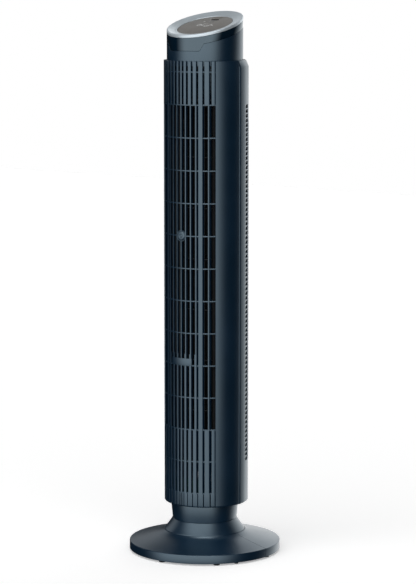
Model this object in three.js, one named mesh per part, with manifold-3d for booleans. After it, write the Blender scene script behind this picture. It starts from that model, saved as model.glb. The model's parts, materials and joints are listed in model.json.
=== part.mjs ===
// Tower fan: a round flared base, a neck, a slatted tower that turns on the neck, and a slanted control head.
// Units are millimetres. +Z is up and the front, with the air outlet, faces -Y.
// The origin is on the floor under the neck.
import * as THREE from 'three';
import { mergeVertices } from 'three/addons/utils/BufferGeometryUtils.js';
import Module from 'manifold-3d';

const wasm = await Module();
wasm.setup();

// ---------- driving dimensions ----------

const GAP = 0.3; // between two pieces that touch
const WALL = 2.4; // moulded casing wall

// Base
const BASE_RADIUS = 140;
const BASE_RIM_LOW = 4.2;
const BASE_RIM_TOP = 19.4;
const RIM_ROUND = 1.5;
const RIM_FOOT_CHAMFER = 0.3;
const SEAM_RADIUS = 75; // seam between the base halves and the collar
const SEAM_HEIGHT = 39.8;
const BASE_SLOPE = 0.26; // of the base's cone
const FLARE_RISE = 3.9; // how far the base's skin rises above that cone at the seam
const FLARE_REACH = 5.3; // how fast that rise fades outwards
const FLARE_END = 92; // beyond this radius the skin is a plain cone
const FOOT_RADIUS = 6.3;
const SMALL_FOOT_RADIUS = 4;
const FOOT_HEIGHT = 5.7;
const FOOT_CIRCLE = 130.5;
const FOOT_ANGLES = [0, 46, -46, 96, -96, 150, -150]; // from the front, about +Z
const SMALL_FOOT_ANGLES = [62.6, -62.6];
const MOUNT_PLATE_RADIUS = 84;
const MOUNT_PLATE_LOW = 10;
const MOUNT_PLATE_HIGH = 14;
const MOUNT_PLATE_HOLE = 20;
const BASE_SCREW_CIRCLE = 64;
const BASE_SCREW_ANGLES = [45, 135, 225, 315];
const BASE_SCREW_RADIUS = 2.1;
const BASE_SCREW_HEAD_RADIUS = 4.2;
const GLAND_HEIGHT = 11;
const GLAND_RADIUS = 4.2;
const GLAND_FLANGE_RADIUS = 5.4;
const GLAND_BORE = 2.8;

// Collar and neck
const CREASE_RADIUS = 59.6;
const CREASE_HEIGHT = 61;
const COLLAR_SAG = 0.2; // how far the collar hangs below a straight cone, as a share of its height
const NECK_TOP = 92.7;
const NECK_TOP_RADIUS = 62.4;
const NECK_TUBE_RADIUS = 57;
const NECK_FLANGE_RADIUS = 70;
const NECK_FLANGE_THICKNESS = 3.5;
const SHELF_LOW = 84;
const SHELF_HIGH = 87;

// Oscillation drive
const GEAR_MODULE = 1.5;
const RING_TEETH = 32;
const PINION_TEETH = 12;
const SPINDLE_RADIUS = 17;
const SPINDLE_BORE = 13;
const SPINDLE_LOW = 66;
const GEAR_LOW = SHELF_HIGH + GAP;
const GEAR_HIGH = GEAR_LOW + 6;
const PINION_Y = (GEAR_MODULE * (RING_TEETH + PINION_TEETH)) / 2;
const BEARING_INNER = 47;
const BEARING_OUTER = 55;
const SWIVEL_RADIUS = 67;
const WASHER_RADIUS = 28;
const WASHER_THICKNESS = 2.5;
const NUT_RADIUS = 25;
const NUT_HEIGHT = 8;

// Tower
const BODY_OFFSET = 5; // the casing's axis lies this far behind the turning axis
const BODY_RADIUS = 77.6;
const BODY_LOW = 93;
const BODY_HIGH = 910.3;
const BODY_ROUND = 3;
const FLANGE_FOOT_RADIUS = 55; // inner edge of the casing's flange at the foot
const FLANGE_TOP_RADIUS = 58;
const NECK_HOLE_RADIUS = 60;
const SEAM_Y = 0.94; // plane where the front cover meets the rear shell
const TOP_BEVEL_IN = 5;
const TOP_BEVEL_DOWN = 12;
const SWIVEL_LOW = BODY_LOW + WALL + GAP;
const SWIVEL_HIGH = SWIVEL_LOW + 3;
const BEYOND = 1200; // further out than any part of the fan

// Outlet grille
const GRILLE_HALF_WIDTH = 58.7;
const SLAT_PITCH = 9.75;
const SLAT_WIDTH = 2.2;
const SLAT_DEPTH = 5;
const WIDE_SLAT_REACH = 4.6; // how far a wide slat runs inwards from its centre line
const GRILLE_BACK = -30; // no part of the grille lies behind this plane
const RIB_INNER = 33.6;
const RIB_OUTER = 40.2;
const RING_TOP = 891;
const RING_PITCH = 59.36;
const RINGS = [0, 1, 3, 5, 7, 9, 11, 12, 13]; // of fourteen places, counted down from the top
const RING_THICKNESS = 2.2;
const OPEN_TOP = RING_TOP - RING_PITCH;
const OPEN_LOW = RING_TOP - 11 * RING_PITCH;
const FOOT_BAND = RING_TOP - 13 * RING_PITCH;
const SCREW_HEIGHT = RING_TOP - 5 * RING_PITCH;
const SCREW_CAP_RADIUS = 8.5;
const SCREW_SEAT_Y = BODY_OFFSET - BODY_RADIUS + 2;
const BADGE_LOW = RING_TOP - 9 * RING_PITCH;
const BADGE_HEIGHT = 13;
const BADGE_HALF = 21.5;

// Air intake
const INTAKE_LOW = 171;
const INTAKE_HIGH = 831;
const INTAKE_START = 102; // degrees from the front, each side
const INTAKE_END = 172;
const INTAKE_ROWS = 9;
const INTAKE_COLUMNS = 2; // on each side

// Air duct and impeller
const FAN_Y = 12;
const IMPELLER_RADIUS = 44;
const BLADE_COUNT = 14;
const IMPELLER_LOW = 172;
const IMPELLER_HIGH = 830;
const DUCT_FLOOR_LOW = 160;
const DUCT_FLOOR_HIGH = 163;
const DUCT_CEILING_LOW = 839;
const DUCT_CEILING_HIGH = 842;
const SHAFT_RADIUS = 3;
const HUB_RADIUS = 9;
const AXLE_RADIUS = 4;
const HOLDER_RADIUS = 14;
const BEARING_RADIUS = 8;
const WIRE_PLACE = [-64, 22]; // where the wiring loom runs up beside the duct
const DUCT_DISC_RADIUS = 72;
const MOTOR_RADIUS = 38;
const MOTOR_LOW = 128;
const MOTOR_HIGH = 156;
const ROTOR_RADIUS = 24;
const ROTOR_LOW = 135;
const ROTOR_HIGH = 149;
const REAR_SCREWS = [DUCT_FLOOR_LOW - 9, DUCT_CEILING_HIGH + 9];
const REAR_SCREW_HOLE = 2.4;
const WELL_RADIUS = 5;
const WELL_FLOOR_Y = 66;

// Control head
const HEAD_OFFSET = 1;
const HEAD_RADIUS = 69.6;
const HEAD_LOW = 901.3;
const HEAD_SLOPE = Math.tan(THREE.MathUtils.degToRad(16.4));
const HEAD_TOP_AT_AXIS = 977;
const TRIM_DEPTH = 5.2;
const TRIM_BORE = 50.9;
const TRIM_EDGE = 0.6; // chamfer on the ring's outer edge
const FACE_DEPTH = 4.2; // the touch panel lies this far below the ring's edge
const DECK_DEPTH = 6.5;
const DECK_THICKNESS = 2;
const DECK_BORE = 44;
const BAND_DEPTH = 18.6;
const TAB_LOW = 928.4;
const TAB_HALF_LOW = 33;
const TAB_HALF_HIGH = 40;
const TAB_SHOULDER = 943;
const WINDOW_Y = 33;
const WINDOW_RADIUS = 3.4;
const WINDOW_HALF = 5; // half the distance between the centres of its two round ends
const BOARD_RADIUS = 42;
const TOP_PLATE_LOW = 897;
const TOP_PLATE_HIGH = 901;

// ---------- materials ----------

function finish(color, roughness, metalness = 0) {
  return new THREE.MeshStandardMaterial({ color, roughness, metalness });
}

const navyPlastic = finish(0x1b2e3b, 0.42);
const glossPlastic = finish(0x16232d, 0.08);
const trimSilver = finish(0xa7b6c2, 0.3, 0.6);
const panelGlass = finish(0x5c5f60, 0.12);
const darkPlastic = finish(0x10161b, 0.6);
const blackRubber = finish(0x0b0c0d, 0.85);
const steel = finish(0x9ea3a6, 0.35, 0.9);
const whitePlastic = finish(0xd9d9d2, 0.5);
const boardGreen = finish(0x1d4d35, 0.5);
const cableSheath = finish(0x2a2a2c, 0.6);

// ---------- solids ----------

const FINE = 40; // facets round a large circle
const MEDIUM = 32;
const SMALL = 12;
const TINY = 8;

const SIMPLE = 0.002; // flat neighbours within this are one face

const radians = THREE.MathUtils.degToRad;

// Turns a closed geometry into a solid that can be cut and joined.
function toSolid(geometry) {
  const bare = geometry.clone();
  bare.deleteAttribute('normal');
  bare.deleteAttribute('uv');
  const merged = mergeVertices(bare, 1e-4);
  const index = merged.index.array;
  const corners = [];
  for (let i = 0; i < index.length; i += 3) {
    const [a, b, c] = [index[i], index[i + 1], index[i + 2]];
    if (a !== b && b !== c && c !== a) corners.push(a, b, c);
  }
  return new wasm.Manifold(new wasm.Mesh({
    numProp: 3,
    vertProperties: new Float32Array(merged.attributes.position.array),
    triVerts: new Uint32Array(corners),
  }));
}

function toGeometry(solid) {
  const mesh = solid.asOriginal().simplify(SIMPLE).getMesh();
  const geometry = new THREE.BufferGeometry();
  geometry.setAttribute('position', new THREE.BufferAttribute(new Float32Array(mesh.vertProperties), 3));
  geometry.setIndex(new THREE.BufferAttribute(new Uint32Array(mesh.triVerts), 1));
  geometry.computeVertexNormals();
  return geometry;
}

function join(solids) {
  return solids.reduce((all, one) => all.add(one));
}

// A closed outline of [radius, height] points, anticlockwise, turned about a vertical axis at (x, y).
function turn(outline, segments, x = 0, y = 0) {
  const points = [...outline, outline[0]].map(([r, z]) => new THREE.Vector2(r, z));
  const geometry = new THREE.LatheGeometry(points, segments);
  geometry.rotateX(Math.PI / 2);
  geometry.translate(x, y, 0);
  return toSolid(geometry);
}

function tube(inner, outer, low, high, segments, x = 0, y = 0) {
  return turn([[inner, low], [outer, low], [outer, high], [inner, high]], segments, x, y);
}

function drum(radius, low, high, segments, x = 0, y = 0) {
  const geometry = new THREE.CylinderGeometry(radius, radius, high - low, segments);
  geometry.rotateX(Math.PI / 2);
  geometry.translate(x, y, (low + high) / 2);
  return toSolid(geometry);
}

function block(x0, x1, y0, y1, z0, z1) {
  const geometry = new THREE.BoxGeometry(x1 - x0, y1 - y0, z1 - z0);
  geometry.translate((x0 + x1) / 2, (y0 + y1) / 2, (z0 + z1) / 2);
  return toSolid(geometry);
}

// A flat outline of [x, y] points drawn up from one height to another.
function prism(outline, low, high) {
  const shape = new THREE.Shape(outline.map(([x, y]) => new THREE.Vector2(x, y)));
  const geometry = new THREE.ExtrudeGeometry(shape, { depth: high - low, bevelEnabled: false });
  geometry.translate(0, 0, low);
  return toSolid(geometry);
}

// An outline in the (y, z) plane, drawn along X from -half to half.
function prismAcross(outline, half) {
  const shape = new THREE.Shape(outline.map(([y, z]) => new THREE.Vector2(y, z)));
  const geometry = new THREE.ExtrudeGeometry(shape, { depth: 2 * half, bevelEnabled: false });
  geometry.translate(0, 0, -half);
  const basis = new THREE.Matrix4();
  basis.makeBasis(new THREE.Vector3(0, 1, 0), new THREE.Vector3(0, 0, 1), new THREE.Vector3(1, 0, 0));
  geometry.applyMatrix4(basis);
  return toSolid(geometry);
}

// An outline in the (x, z) plane, drawn forwards from y = back to y = back - depth.
function prismForward(outline, back, depth) {
  const shape = new THREE.Shape(outline.map(([x, z]) => new THREE.Vector2(x, z)));
  const geometry = new THREE.ExtrudeGeometry(shape, { depth, bevelEnabled: false });
  const basis = new THREE.Matrix4();
  basis.makeBasis(new THREE.Vector3(1, 0, 0), new THREE.Vector3(0, 0, 1), new THREE.Vector3(0, -1, 0));
  geometry.applyMatrix4(basis);
  geometry.translate(0, back, 0);
  return toSolid(geometry);
}

// Points on an arc in an outline, from one angle to another in degrees.
function arc(cx, cy, radius, from, to, steps) {
  const points = [];
  for (let i = 0; i <= steps; i += 1) {
    const angle = radians(from + ((to - from) * i) / steps);
    points.push([cx + radius * Math.cos(angle), cy + radius * Math.sin(angle)]);
  }
  return points;
}

function circle(cx, cy, radius, segments) {
  return arc(cx, cy, radius, 0, 360, segments).slice(1);
}

// A place at a given radius and at an angle from the front, about a vertical axis at (0, axisY).
function around(radius, degreesFromFront, axisY = 0) {
  const angle = radians(degreesFromFront);
  return [radius * Math.sin(angle), axisY - radius * Math.cos(angle)];
}

// ---------- base ----------

function baseHeight(radius) {
  const cone = BASE_SLOPE * (BASE_RADIUS - RIM_ROUND - radius);
  return BASE_RIM_TOP + cone + FLARE_RISE * Math.exp((SEAM_RADIUS - radius) / FLARE_REACH);
}

// The collar's skin hangs a little below the straight line from its seam up to the crease.
function collarHeight(radius) {
  const share = (SEAM_RADIUS - radius) / (SEAM_RADIUS - CREASE_RADIUS);
  return SEAM_HEIGHT + (CREASE_HEIGHT - SEAM_HEIGHT) * (share - COLLAR_SAG * share * (1 - share));
}

function underside(height) {
  return (radius) => height(radius) - WALL * Math.hypot(1, height(radius + 0.5) - height(radius - 0.5));
}

// Points along a sweep between two radii; the spacing widens towards the rim, where it is flatter.
function sweep(height, from, to, steps) {
  const points = [];
  for (let i = 0; i <= steps; i += 1) {
    const radius = from * (to / from) ** (i / steps);
    points.push([radius, height(radius)]);
  }
  return points;
}

function baseShell() {
  const inner = SEAM_RADIUS + GAP / 2;
  const sleeveOuter = inner + WALL;
  const rimInner = BASE_RADIUS - WALL;
  const roundCentre = BASE_RADIUS - RIM_ROUND;
  return turn([
    [inner, MOUNT_PLATE_HIGH + GAP],
    [sleeveOuter, MOUNT_PLATE_HIGH + GAP],
    ...sweep(underside(baseHeight), sleeveOuter, FLARE_END, 2),
    [rimInner, underside(baseHeight)(rimInner)],
    [rimInner, BASE_RIM_LOW],
    [BASE_RADIUS - RIM_FOOT_CHAMFER, BASE_RIM_LOW],
    [BASE_RADIUS, BASE_RIM_LOW + RIM_FOOT_CHAMFER],
    ...arc(roundCentre, BASE_RIM_TOP - RIM_ROUND, RIM_ROUND, 0, 90, 1),
    ...sweep(baseHeight, FLARE_END, inner, 3),
  ], FINE);
}

// Posts under the skin that the feet are glued to.
function footPosts() {
  const low = FOOT_HEIGHT + GAP;
  const high = BASE_RIM_TOP - 1;
  const post = (radius, angle) => drum(radius + 1, low, high, TINY, ...around(FOOT_CIRCLE, angle));
  const large = FOOT_ANGLES.map((angle) => post(FOOT_RADIUS, angle));
  const small = SMALL_FOOT_ANGLES.map((angle) => post(SMALL_FOOT_RADIUS, angle));
  return join([...large, ...small]);
}

function baseHalves() {
  const glandHole = prismForward(circle(0, GLAND_HEIGHT, GLAND_RADIUS + GAP, TINY), BASE_RADIUS + 2, 12);
  const whole = baseShell().add(footPosts()).subtract(glandHole);
  const reach = BASE_RADIUS + 5;
  const front = block(-reach, reach, -reach, -GAP / 2, 0, CREASE_HEIGHT);
  const rear = block(-reach, reach, GAP / 2, reach, 0, CREASE_HEIGHT);
  return [whole.intersect(front), whole.intersect(rear)];
}

function foot(radius, angle) {
  return drum(radius, 0, FOOT_HEIGHT, 10, ...around(FOOT_CIRCLE, angle));
}

function cordGland() {
  const round = (radius, back, depth) => prismForward(circle(0, GLAND_HEIGHT, radius, TINY), back, depth);
  const bush = round(GLAND_RADIUS, BASE_RADIUS - 0.5, 9);
  const flange = round(GLAND_FLANGE_RADIUS, BASE_RADIUS - WALL - 3 * GAP, 1.8);
  return bush.add(flange).subtract(round(GLAND_BORE, BASE_RADIUS + 1, 14));
}

function mountPlate() {
  const [low, high] = [MOUNT_PLATE_LOW - 1, MOUNT_PLATE_HIGH + 1];
  const holes = BASE_SCREW_ANGLES.map(
    (angle) => drum(BASE_SCREW_RADIUS + 0.5, low, high, TINY, ...around(BASE_SCREW_CIRCLE, angle)),
  );
  const middle = drum(MOUNT_PLATE_HOLE, low, high, SMALL);
  const plate = drum(MOUNT_PLATE_RADIUS, MOUNT_PLATE_LOW, MOUNT_PLATE_HIGH, MEDIUM);
  return plate.subtract(join([...holes, middle]));
}

function baseScrew(angle) {
  const seat = MOUNT_PLATE_LOW - GAP;
  const headLow = seat - 2.2;
  const tip = MOUNT_PLATE_HIGH + NECK_FLANGE_THICKNESS;
  return turn([
    [0, headLow],
    [BASE_SCREW_HEAD_RADIUS, headLow],
    [BASE_SCREW_HEAD_RADIUS, seat],
    [BASE_SCREW_RADIUS, seat],
    [BASE_SCREW_RADIUS, tip],
    [0, tip],
  ], TINY, ...around(BASE_SCREW_CIRCLE, angle));
}

function collar() {
  const outer = SEAM_RADIUS - GAP;
  const inner = NECK_TUBE_RADIUS + GAP;
  const top = CREASE_HEIGHT - GAP;
  return turn([
    [outer - WALL, MOUNT_PLATE_HIGH + 5],
    [outer, MOUNT_PLATE_HIGH + 5],
    ...sweep(collarHeight, outer, CREASE_RADIUS + 0.2, 3),
    [inner, top],
    [inner, top - 2.5],
    ...sweep(underside(collarHeight), inner + 2.5, outer - WALL, 2),
  ], MEDIUM);
}

function neck() {
  const low = MOUNT_PLATE_HIGH + GAP;
  const inner = NECK_TUBE_RADIUS - WALL;
  const body = turn([
    [inner, low],
    [NECK_FLANGE_RADIUS, low],
    [NECK_FLANGE_RADIUS, low + NECK_FLANGE_THICKNESS],
    [NECK_TUBE_RADIUS, low + NECK_FLANGE_THICKNESS],
    [NECK_TUBE_RADIUS, CREASE_HEIGHT],
    [CREASE_RADIUS, CREASE_HEIGHT],
    [NECK_TOP_RADIUS, NECK_TOP],
    [NECK_TOP_RADIUS - WALL, NECK_TOP],
    [NECK_TUBE_RADIUS, SHELF_HIGH],
    [SPINDLE_RADIUS + 0.4, SHELF_HIGH],
    [SPINDLE_RADIUS + 0.4, SHELF_LOW],
    [inner, SHELF_LOW],
  ], MEDIUM);
  const holes = BASE_SCREW_ANGLES.map(
    (angle) => drum(BASE_SCREW_RADIUS + GAP, low - 1, low + 5, TINY, ...around(BASE_SCREW_CIRCLE, angle)),
  );
  return body.subtract(join(holes));
}

// ---------- oscillation drive ----------

// A spur gear's outline: four corners a tooth, with a tooth centred on the given angle.
function gearOutline(teeth, centreAngle) {
  const pitchRadius = (GEAR_MODULE * teeth) / 2;
  const root = pitchRadius - 1.25 * GEAR_MODULE;
  const tip = pitchRadius + 0.85 * GEAR_MODULE;
  const quarter = 90 / teeth;
  const corners = [[root, -0.95], [tip, -0.42], [tip, 0.42], [root, 0.95]];
  const outline = [];
  for (let tooth = 0; tooth < teeth; tooth += 1) {
    const middle = centreAngle + (360 * tooth) / teeth;
    for (const [radius, share] of corners) {
      const angle = radians(middle + share * quarter);
      outline.push([radius * Math.cos(angle), radius * Math.sin(angle)]);
    }
  }
  return outline;
}

function ringGear() {
  const toothTowardsPinion = 90;
  const bore = drum(SPINDLE_RADIUS + 1.2, GEAR_LOW - 1, GEAR_HIGH + 1, SMALL);
  return prism(gearOutline(RING_TEETH, toothTowardsPinion), GEAR_LOW, GEAR_HIGH).subtract(bore);
}

function pinion() {
  const gapTowardsGear = -90 + 180 / PINION_TEETH;
  const gear = prism(gearOutline(PINION_TEETH, gapTowardsGear), GEAR_LOW + 0.5, GEAR_HIGH);
  const shaft = drum(SHAFT_RADIUS, GEAR_HIGH - 1, SWIVEL_HIGH + 9, TINY);
  return gear.add(shaft).translate([0, PINION_Y, 0]);
}

function bearingRing() {
  return tube(BEARING_INNER, BEARING_OUTER, SHELF_HIGH + GAP, SWIVEL_LOW - GAP, MEDIUM);
}

function swivelPlate() {
  const plate = drum(SWIVEL_RADIUS, SWIVEL_LOW, SWIVEL_HIGH, MEDIUM);
  const spindle = drum(SPINDLE_RADIUS, SPINDLE_LOW, SWIVEL_HIGH - 1, MEDIUM);
  const bore = drum(SPINDLE_BORE, SPINDLE_LOW - 1, SWIVEL_HIGH + 1, SMALL);
  const shaftHole = drum(SHAFT_RADIUS + 0.5, SWIVEL_LOW - 1, SWIVEL_HIGH + 1, TINY, 0, PINION_Y);
  return plate.add(spindle).subtract(bore).subtract(shaftHole);
}

function retainingWasher() {
  const high = SHELF_LOW - GAP;
  return tube(SPINDLE_RADIUS + GAP, WASHER_RADIUS, high - WASHER_THICKNESS, high, MEDIUM);
}

function retainingNut() {
  const high = SHELF_LOW - 2 * GAP - WASHER_THICKNESS;
  const low = high - NUT_HEIGHT;
  return drum(NUT_RADIUS, low, high, 6).subtract(drum(SPINDLE_RADIUS + GAP, low - 1, high + 1, MEDIUM));
}

function oscillationMotor() {
  const low = SWIVEL_HIGH + GAP;
  const can = drum(18, low, low + 20, SMALL, 0, PINION_Y);
  const ears = block(-26, 26, PINION_Y - 4, PINION_Y + 4, low, low + 1.5);
  return can.add(ears).subtract(drum(SHAFT_RADIUS + 0.4, low - 1, low + 10, TINY, 0, PINION_Y));
}

// ---------- tower casing ----------

// The tower's wall as a turned solid: open inside, with a short flange at the foot and at the top.
function casing(depth, bevelIn, bevelDown) {
  const inner = BODY_RADIUS - depth;
  return turn([
    [FLANGE_FOOT_RADIUS, BODY_LOW],
    ...arc(BODY_RADIUS - BODY_ROUND, BODY_LOW + BODY_ROUND, BODY_ROUND, -90, 0, 2),
    [BODY_RADIUS, BODY_HIGH - bevelDown],
    [BODY_RADIUS - bevelIn, BODY_HIGH],
    [FLANGE_TOP_RADIUS, BODY_HIGH],
    [FLANGE_TOP_RADIUS, BODY_HIGH - WALL],
    [inner - bevelIn, BODY_HIGH - WALL],
    [inner, BODY_HIGH - WALL - bevelDown],
    [inner, BODY_LOW + WALL],
    [FLANGE_FOOT_RADIUS, BODY_LOW + WALL],
  ], MEDIUM, 0, BODY_OFFSET);
}

function openEnds(solid) {
  const headHole = drum(HEAD_RADIUS + GAP, HEAD_LOW - 1, BODY_HIGH + 1, FINE, 0, HEAD_OFFSET);
  const neckHole = drum(NECK_HOLE_RADIUS, BODY_LOW - 1, BODY_LOW + WALL + 1, MEDIUM);
  return solid.subtract(headHole).subtract(neckHole);
}

// The slats' places as [from, to, low, high]: thin between the open zone's ends, wide above and below it.
function slatSpans() {
  const spans = [[-SLAT_WIDTH / 2, SLAT_WIDTH / 2, BODY_LOW, BODY_HIGH]];
  for (const side of [-1, 1]) {
    const put = (near, far, low, high) => {
      const ends = [side * near, side * far].sort((a, b) => a - b);
      spans.push([...ends, low, high]);
    };
    for (const count of [1, 2, 3]) {
      const middle = count * SLAT_PITCH;
      put(middle - SLAT_WIDTH / 2, middle + SLAT_WIDTH / 2, OPEN_LOW, OPEN_TOP);
      put(middle - WIDE_SLAT_REACH, middle + SLAT_WIDTH / 2, BODY_LOW, OPEN_LOW);
      put(middle - WIDE_SLAT_REACH, middle + SLAT_WIDTH / 2, OPEN_TOP, BODY_HIGH);
    }
    put(RIB_INNER, RIB_OUTER, BODY_LOW, BODY_HIGH);
    put(5 * SLAT_PITCH - 1, 5 * SLAT_PITCH + SLAT_WIDTH, BODY_LOW, BODY_HIGH);
  }
  return spans;
}

function frontCover() {
  const reach = BODY_RADIUS + 5;
  const half = GRILLE_HALF_WIDTH;
  const across = (low, high) => block(-half - 1, half + 1, -reach, GRILLE_BACK, low, high);
  const frontHalf = block(-reach, reach, BODY_OFFSET - reach, SEAM_Y - GAP / 2, 0, BEYOND);
  const window = block(-half, half, -reach, GRILLE_BACK, BODY_LOW - 1, BODY_HIGH + 1);
  const sides = openEnds(casing(WALL, 0, 0)).intersect(frontHalf).subtract(window);

  const bars = slatSpans().map(([x0, x1, z0, z1]) => block(x0, x1, -reach, GRILLE_BACK, z0, z1));
  for (const place of RINGS) {
    const middle = RING_TOP - place * RING_PITCH;
    bars.push(across(middle - RING_THICKNESS / 2, middle + RING_THICKNESS / 2));
  }
  const grille = openEnds(casing(SLAT_DEPTH, 0, 0)).intersect(join(bars));
  const backing = tube(BODY_RADIUS - SLAT_DEPTH, BODY_RADIUS - SLAT_DEPTH + 2, BODY_LOW + 1, FOOT_BAND,
    MEDIUM, 0, BODY_OFFSET);
  const footBand = backing.intersect(across(0, BEYOND));

  const boss = prismForward(circle(0, SCREW_HEIGHT, SCREW_CAP_RADIUS, SMALL), SCREW_SEAT_Y + 4.6, 4.6);
  const screwHole = prismForward(circle(0, SCREW_HEIGHT, SHAFT_RADIUS + GAP, TINY), GRILLE_BACK, 60);
  const capSeat = prismForward(circle(0, SCREW_HEIGHT, SCREW_CAP_RADIUS + GAP, SMALL), SCREW_SEAT_Y, 10);
  const cover = join([sides, grille, footBand, boss]);
  return cover.subtract(badgeBlank(GAP)).subtract(screwHole).subtract(capSeat);
}

// The small plain plate across the middle slats, grown all round by a margin.
function badgeBlank(margin) {
  const skin = tube(BODY_RADIUS - 0.9 - margin, BODY_RADIUS + 0.6, BADGE_LOW - margin,
    BADGE_LOW + BADGE_HEIGHT + margin, MEDIUM, 0, BODY_OFFSET);
  return skin.intersect(block(-BADGE_HALF - margin, BADGE_HALF + margin, -BEYOND, GRILLE_BACK, 0, BEYOND));
}

// A domed cap on a shank that runs back into the boss.
function grilleScrew() {
  const capBack = SCREW_SEAT_Y - GAP;
  const cap = new THREE.LatheGeometry([
    new THREE.Vector2(0, -7),
    new THREE.Vector2(SHAFT_RADIUS, -7),
    new THREE.Vector2(SHAFT_RADIUS, 0),
    new THREE.Vector2(SCREW_CAP_RADIUS, 0),
    new THREE.Vector2(SCREW_CAP_RADIUS, 1.6),
    new THREE.Vector2(SCREW_CAP_RADIUS - 2, 2.6),
    new THREE.Vector2(0, 2.9),
  ], SMALL);
  cap.rotateX(Math.PI);
  cap.translate(0, capBack, SCREW_HEIGHT);
  return toSolid(cap);
}

function rearShell() {
  const reach = BODY_RADIUS + 5;
  const rearHalf = block(-reach, reach, SEAM_Y + GAP / 2, BODY_OFFSET + reach, 0, BEYOND);
  const shell = openEnds(casing(WALL, TOP_BEVEL_IN, TOP_BEVEL_DOWN)).intersect(rearHalf);
  const pitch = (INTAKE_HIGH - INTAKE_LOW) / INTAKE_ROWS;
  const span = (INTAKE_END - INTAKE_START) / INTAKE_COLUMNS;
  const width = 2 * BODY_RADIUS * Math.sin(radians(span / 2)) - 5;
  const slots = [];
  for (const side of [-1, 1]) {
    for (let column = 0; column < INTAKE_COLUMNS; column += 1) {
      const angle = INTAKE_START + span * (column + 0.5);
      for (let row = 0; row < INTAKE_ROWS; row += 1) {
        const low = INTAKE_LOW + row * pitch;
        const slot = block(-width / 2, width / 2, -BODY_RADIUS - 2, -60, low, low + pitch * 0.8);
        slots.push(slot.rotate([0, 0, side * angle]).translate([0, BODY_OFFSET, 0]));
      }
    }
  }
  const skinY = BODY_OFFSET + BODY_RADIUS;
  const round = (z, radius, back, depth) => prismForward(circle(0, z, radius, TINY), back, depth);
  const wellBack = skinY - 1.2;
  const wells = REAR_SCREWS.map((z) => round(z, WELL_RADIUS + 1.5, wellBack, wellBack - WELL_FLOOR_Y));
  const bores = REAR_SCREWS.map((z) => round(z, WELL_RADIUS, skinY + 1, skinY - 1 - WELL_FLOOR_Y));
  const holes = REAR_SCREWS.map((z) => round(z, REAR_SCREW_HOLE, skinY, 30));
  return join([shell, ...wells]).subtract(join([...slots, ...bores, ...holes]));
}

function rearScrew(height) {
  const seat = WELL_FLOOR_Y + 2 + GAP;
  const head = prismForward(circle(0, height, 4, TINY), seat + 2.2, 2.2);
  const shank = prismForward(circle(0, height, 2, TINY), seat + 1, 11);
  return head.add(shank);
}

// ---------- air duct ----------

// A disc that closes one end of the duct, with a boss at its rear edge for the rear shell's screw.
function ductDisc(low, high, axisHole, bossLow, bossHigh, screwHeight) {
  const disc = drum(DUCT_DISC_RADIUS, low, high, MEDIUM, 0, BODY_OFFSET);
  const boss = block(-6, 6, 57.5, WELL_FLOOR_Y - GAP, bossLow, bossHigh);
  const hole = drum(axisHole, low - 1, high + 1, SMALL, 0, FAN_Y);
  const wireHole = drum(4.5, low - 1, high + 1, TINY, ...WIRE_PLACE);
  const screwHole = prismForward(circle(0, screwHeight, REAR_SCREW_HOLE, TINY), WELL_FLOOR_Y + 1, 16);
  return disc.add(boss).subtract(join([hole, wireHole, screwHole]));
}

function ductFloor() {
  const screw = REAR_SCREWS[0];
  return ductDisc(DUCT_FLOOR_LOW, DUCT_FLOOR_HIGH, 12, screw - 6, DUCT_FLOOR_HIGH, screw);
}

function ductCeiling() {
  const screw = REAR_SCREWS[1];
  const [low, high] = [DUCT_CEILING_LOW, DUCT_CEILING_HIGH];
  return ductDisc(low, high, HOLDER_RADIUS + GAP, low, screw + 6, screw);
}

// The scroll: a wall that starts close to the impeller and opens out towards the outlet.
function scrollWall() {
  const steps = 8;
  const outer = [];
  const inner = [];
  for (let i = 0; i <= steps; i += 1) {
    const share = i / steps;
    const angle = radians(25 - 72 * share);
    const radius = 47.5 + 27 * share ** 1.4;
    outer.push([(radius + 2) * Math.cos(angle), FAN_Y + (radius + 2) * Math.sin(angle)]);
    inner.unshift([radius * Math.cos(angle), FAN_Y + radius * Math.sin(angle)]);
  }
  return prism([...outer, ...inner], DUCT_FLOOR_HIGH + GAP, DUCT_CEILING_LOW - GAP);
}

// The tongue: a folded wall whose nose comes close to the impeller on the other side of the outlet.
function vortexTongue() {
  const nose = [-33, -25];
  const outline = [
    [-54, -42],
    nose,
    [-46, -8],
    [-50, 16],
    [-52, 16],
    [-48, -8],
    [-36, -24],
    [-54, -39.5],
  ];
  return prism(outline, DUCT_FLOOR_HIGH + GAP, DUCT_CEILING_LOW - GAP);
}

function impeller() {
  const blades = [];
  for (let i = 0; i < BLADE_COUNT; i += 1) {
    const blade = block(-0.8, 0.8, -5, 5, IMPELLER_LOW + 1, IMPELLER_HIGH - 1).rotate([0, 0, 32]);
    blades.push(blade.translate([0, IMPELLER_RADIUS - 6, 0]).rotate([0, 0, (360 * i) / BLADE_COUNT]));
  }
  const endThickness = 4;
  const span = IMPELLER_HIGH - IMPELLER_LOW - endThickness;
  const levels = [0, 1 / 3, 2 / 3, 1].map((share) => IMPELLER_LOW + span * share);
  const ends = [levels[0], levels[3]].map((low) => drum(IMPELLER_RADIUS, low, low + endThickness, MEDIUM));
  const stiffeners = [levels[1], levels[2]].map((low) => tube(30, IMPELLER_RADIUS, low, low + 2, MEDIUM));
  const hubHole = drum(HUB_RADIUS + GAP, IMPELLER_LOW - 1, IMPELLER_LOW + 5, SMALL);
  const axleHole = drum(AXLE_RADIUS + GAP, IMPELLER_HIGH - 5, IMPELLER_HIGH + 1, TINY);
  const wheel = join([...blades, ...ends, ...stiffeners]).subtract(hubHole).subtract(axleHole);
  return wheel.translate([0, FAN_Y, 0]);
}

function impellerHub() {
  return tube(SHAFT_RADIUS + GAP, HUB_RADIUS, IMPELLER_LOW - 6, IMPELLER_LOW + 8, SMALL, 0, FAN_Y);
}

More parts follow.
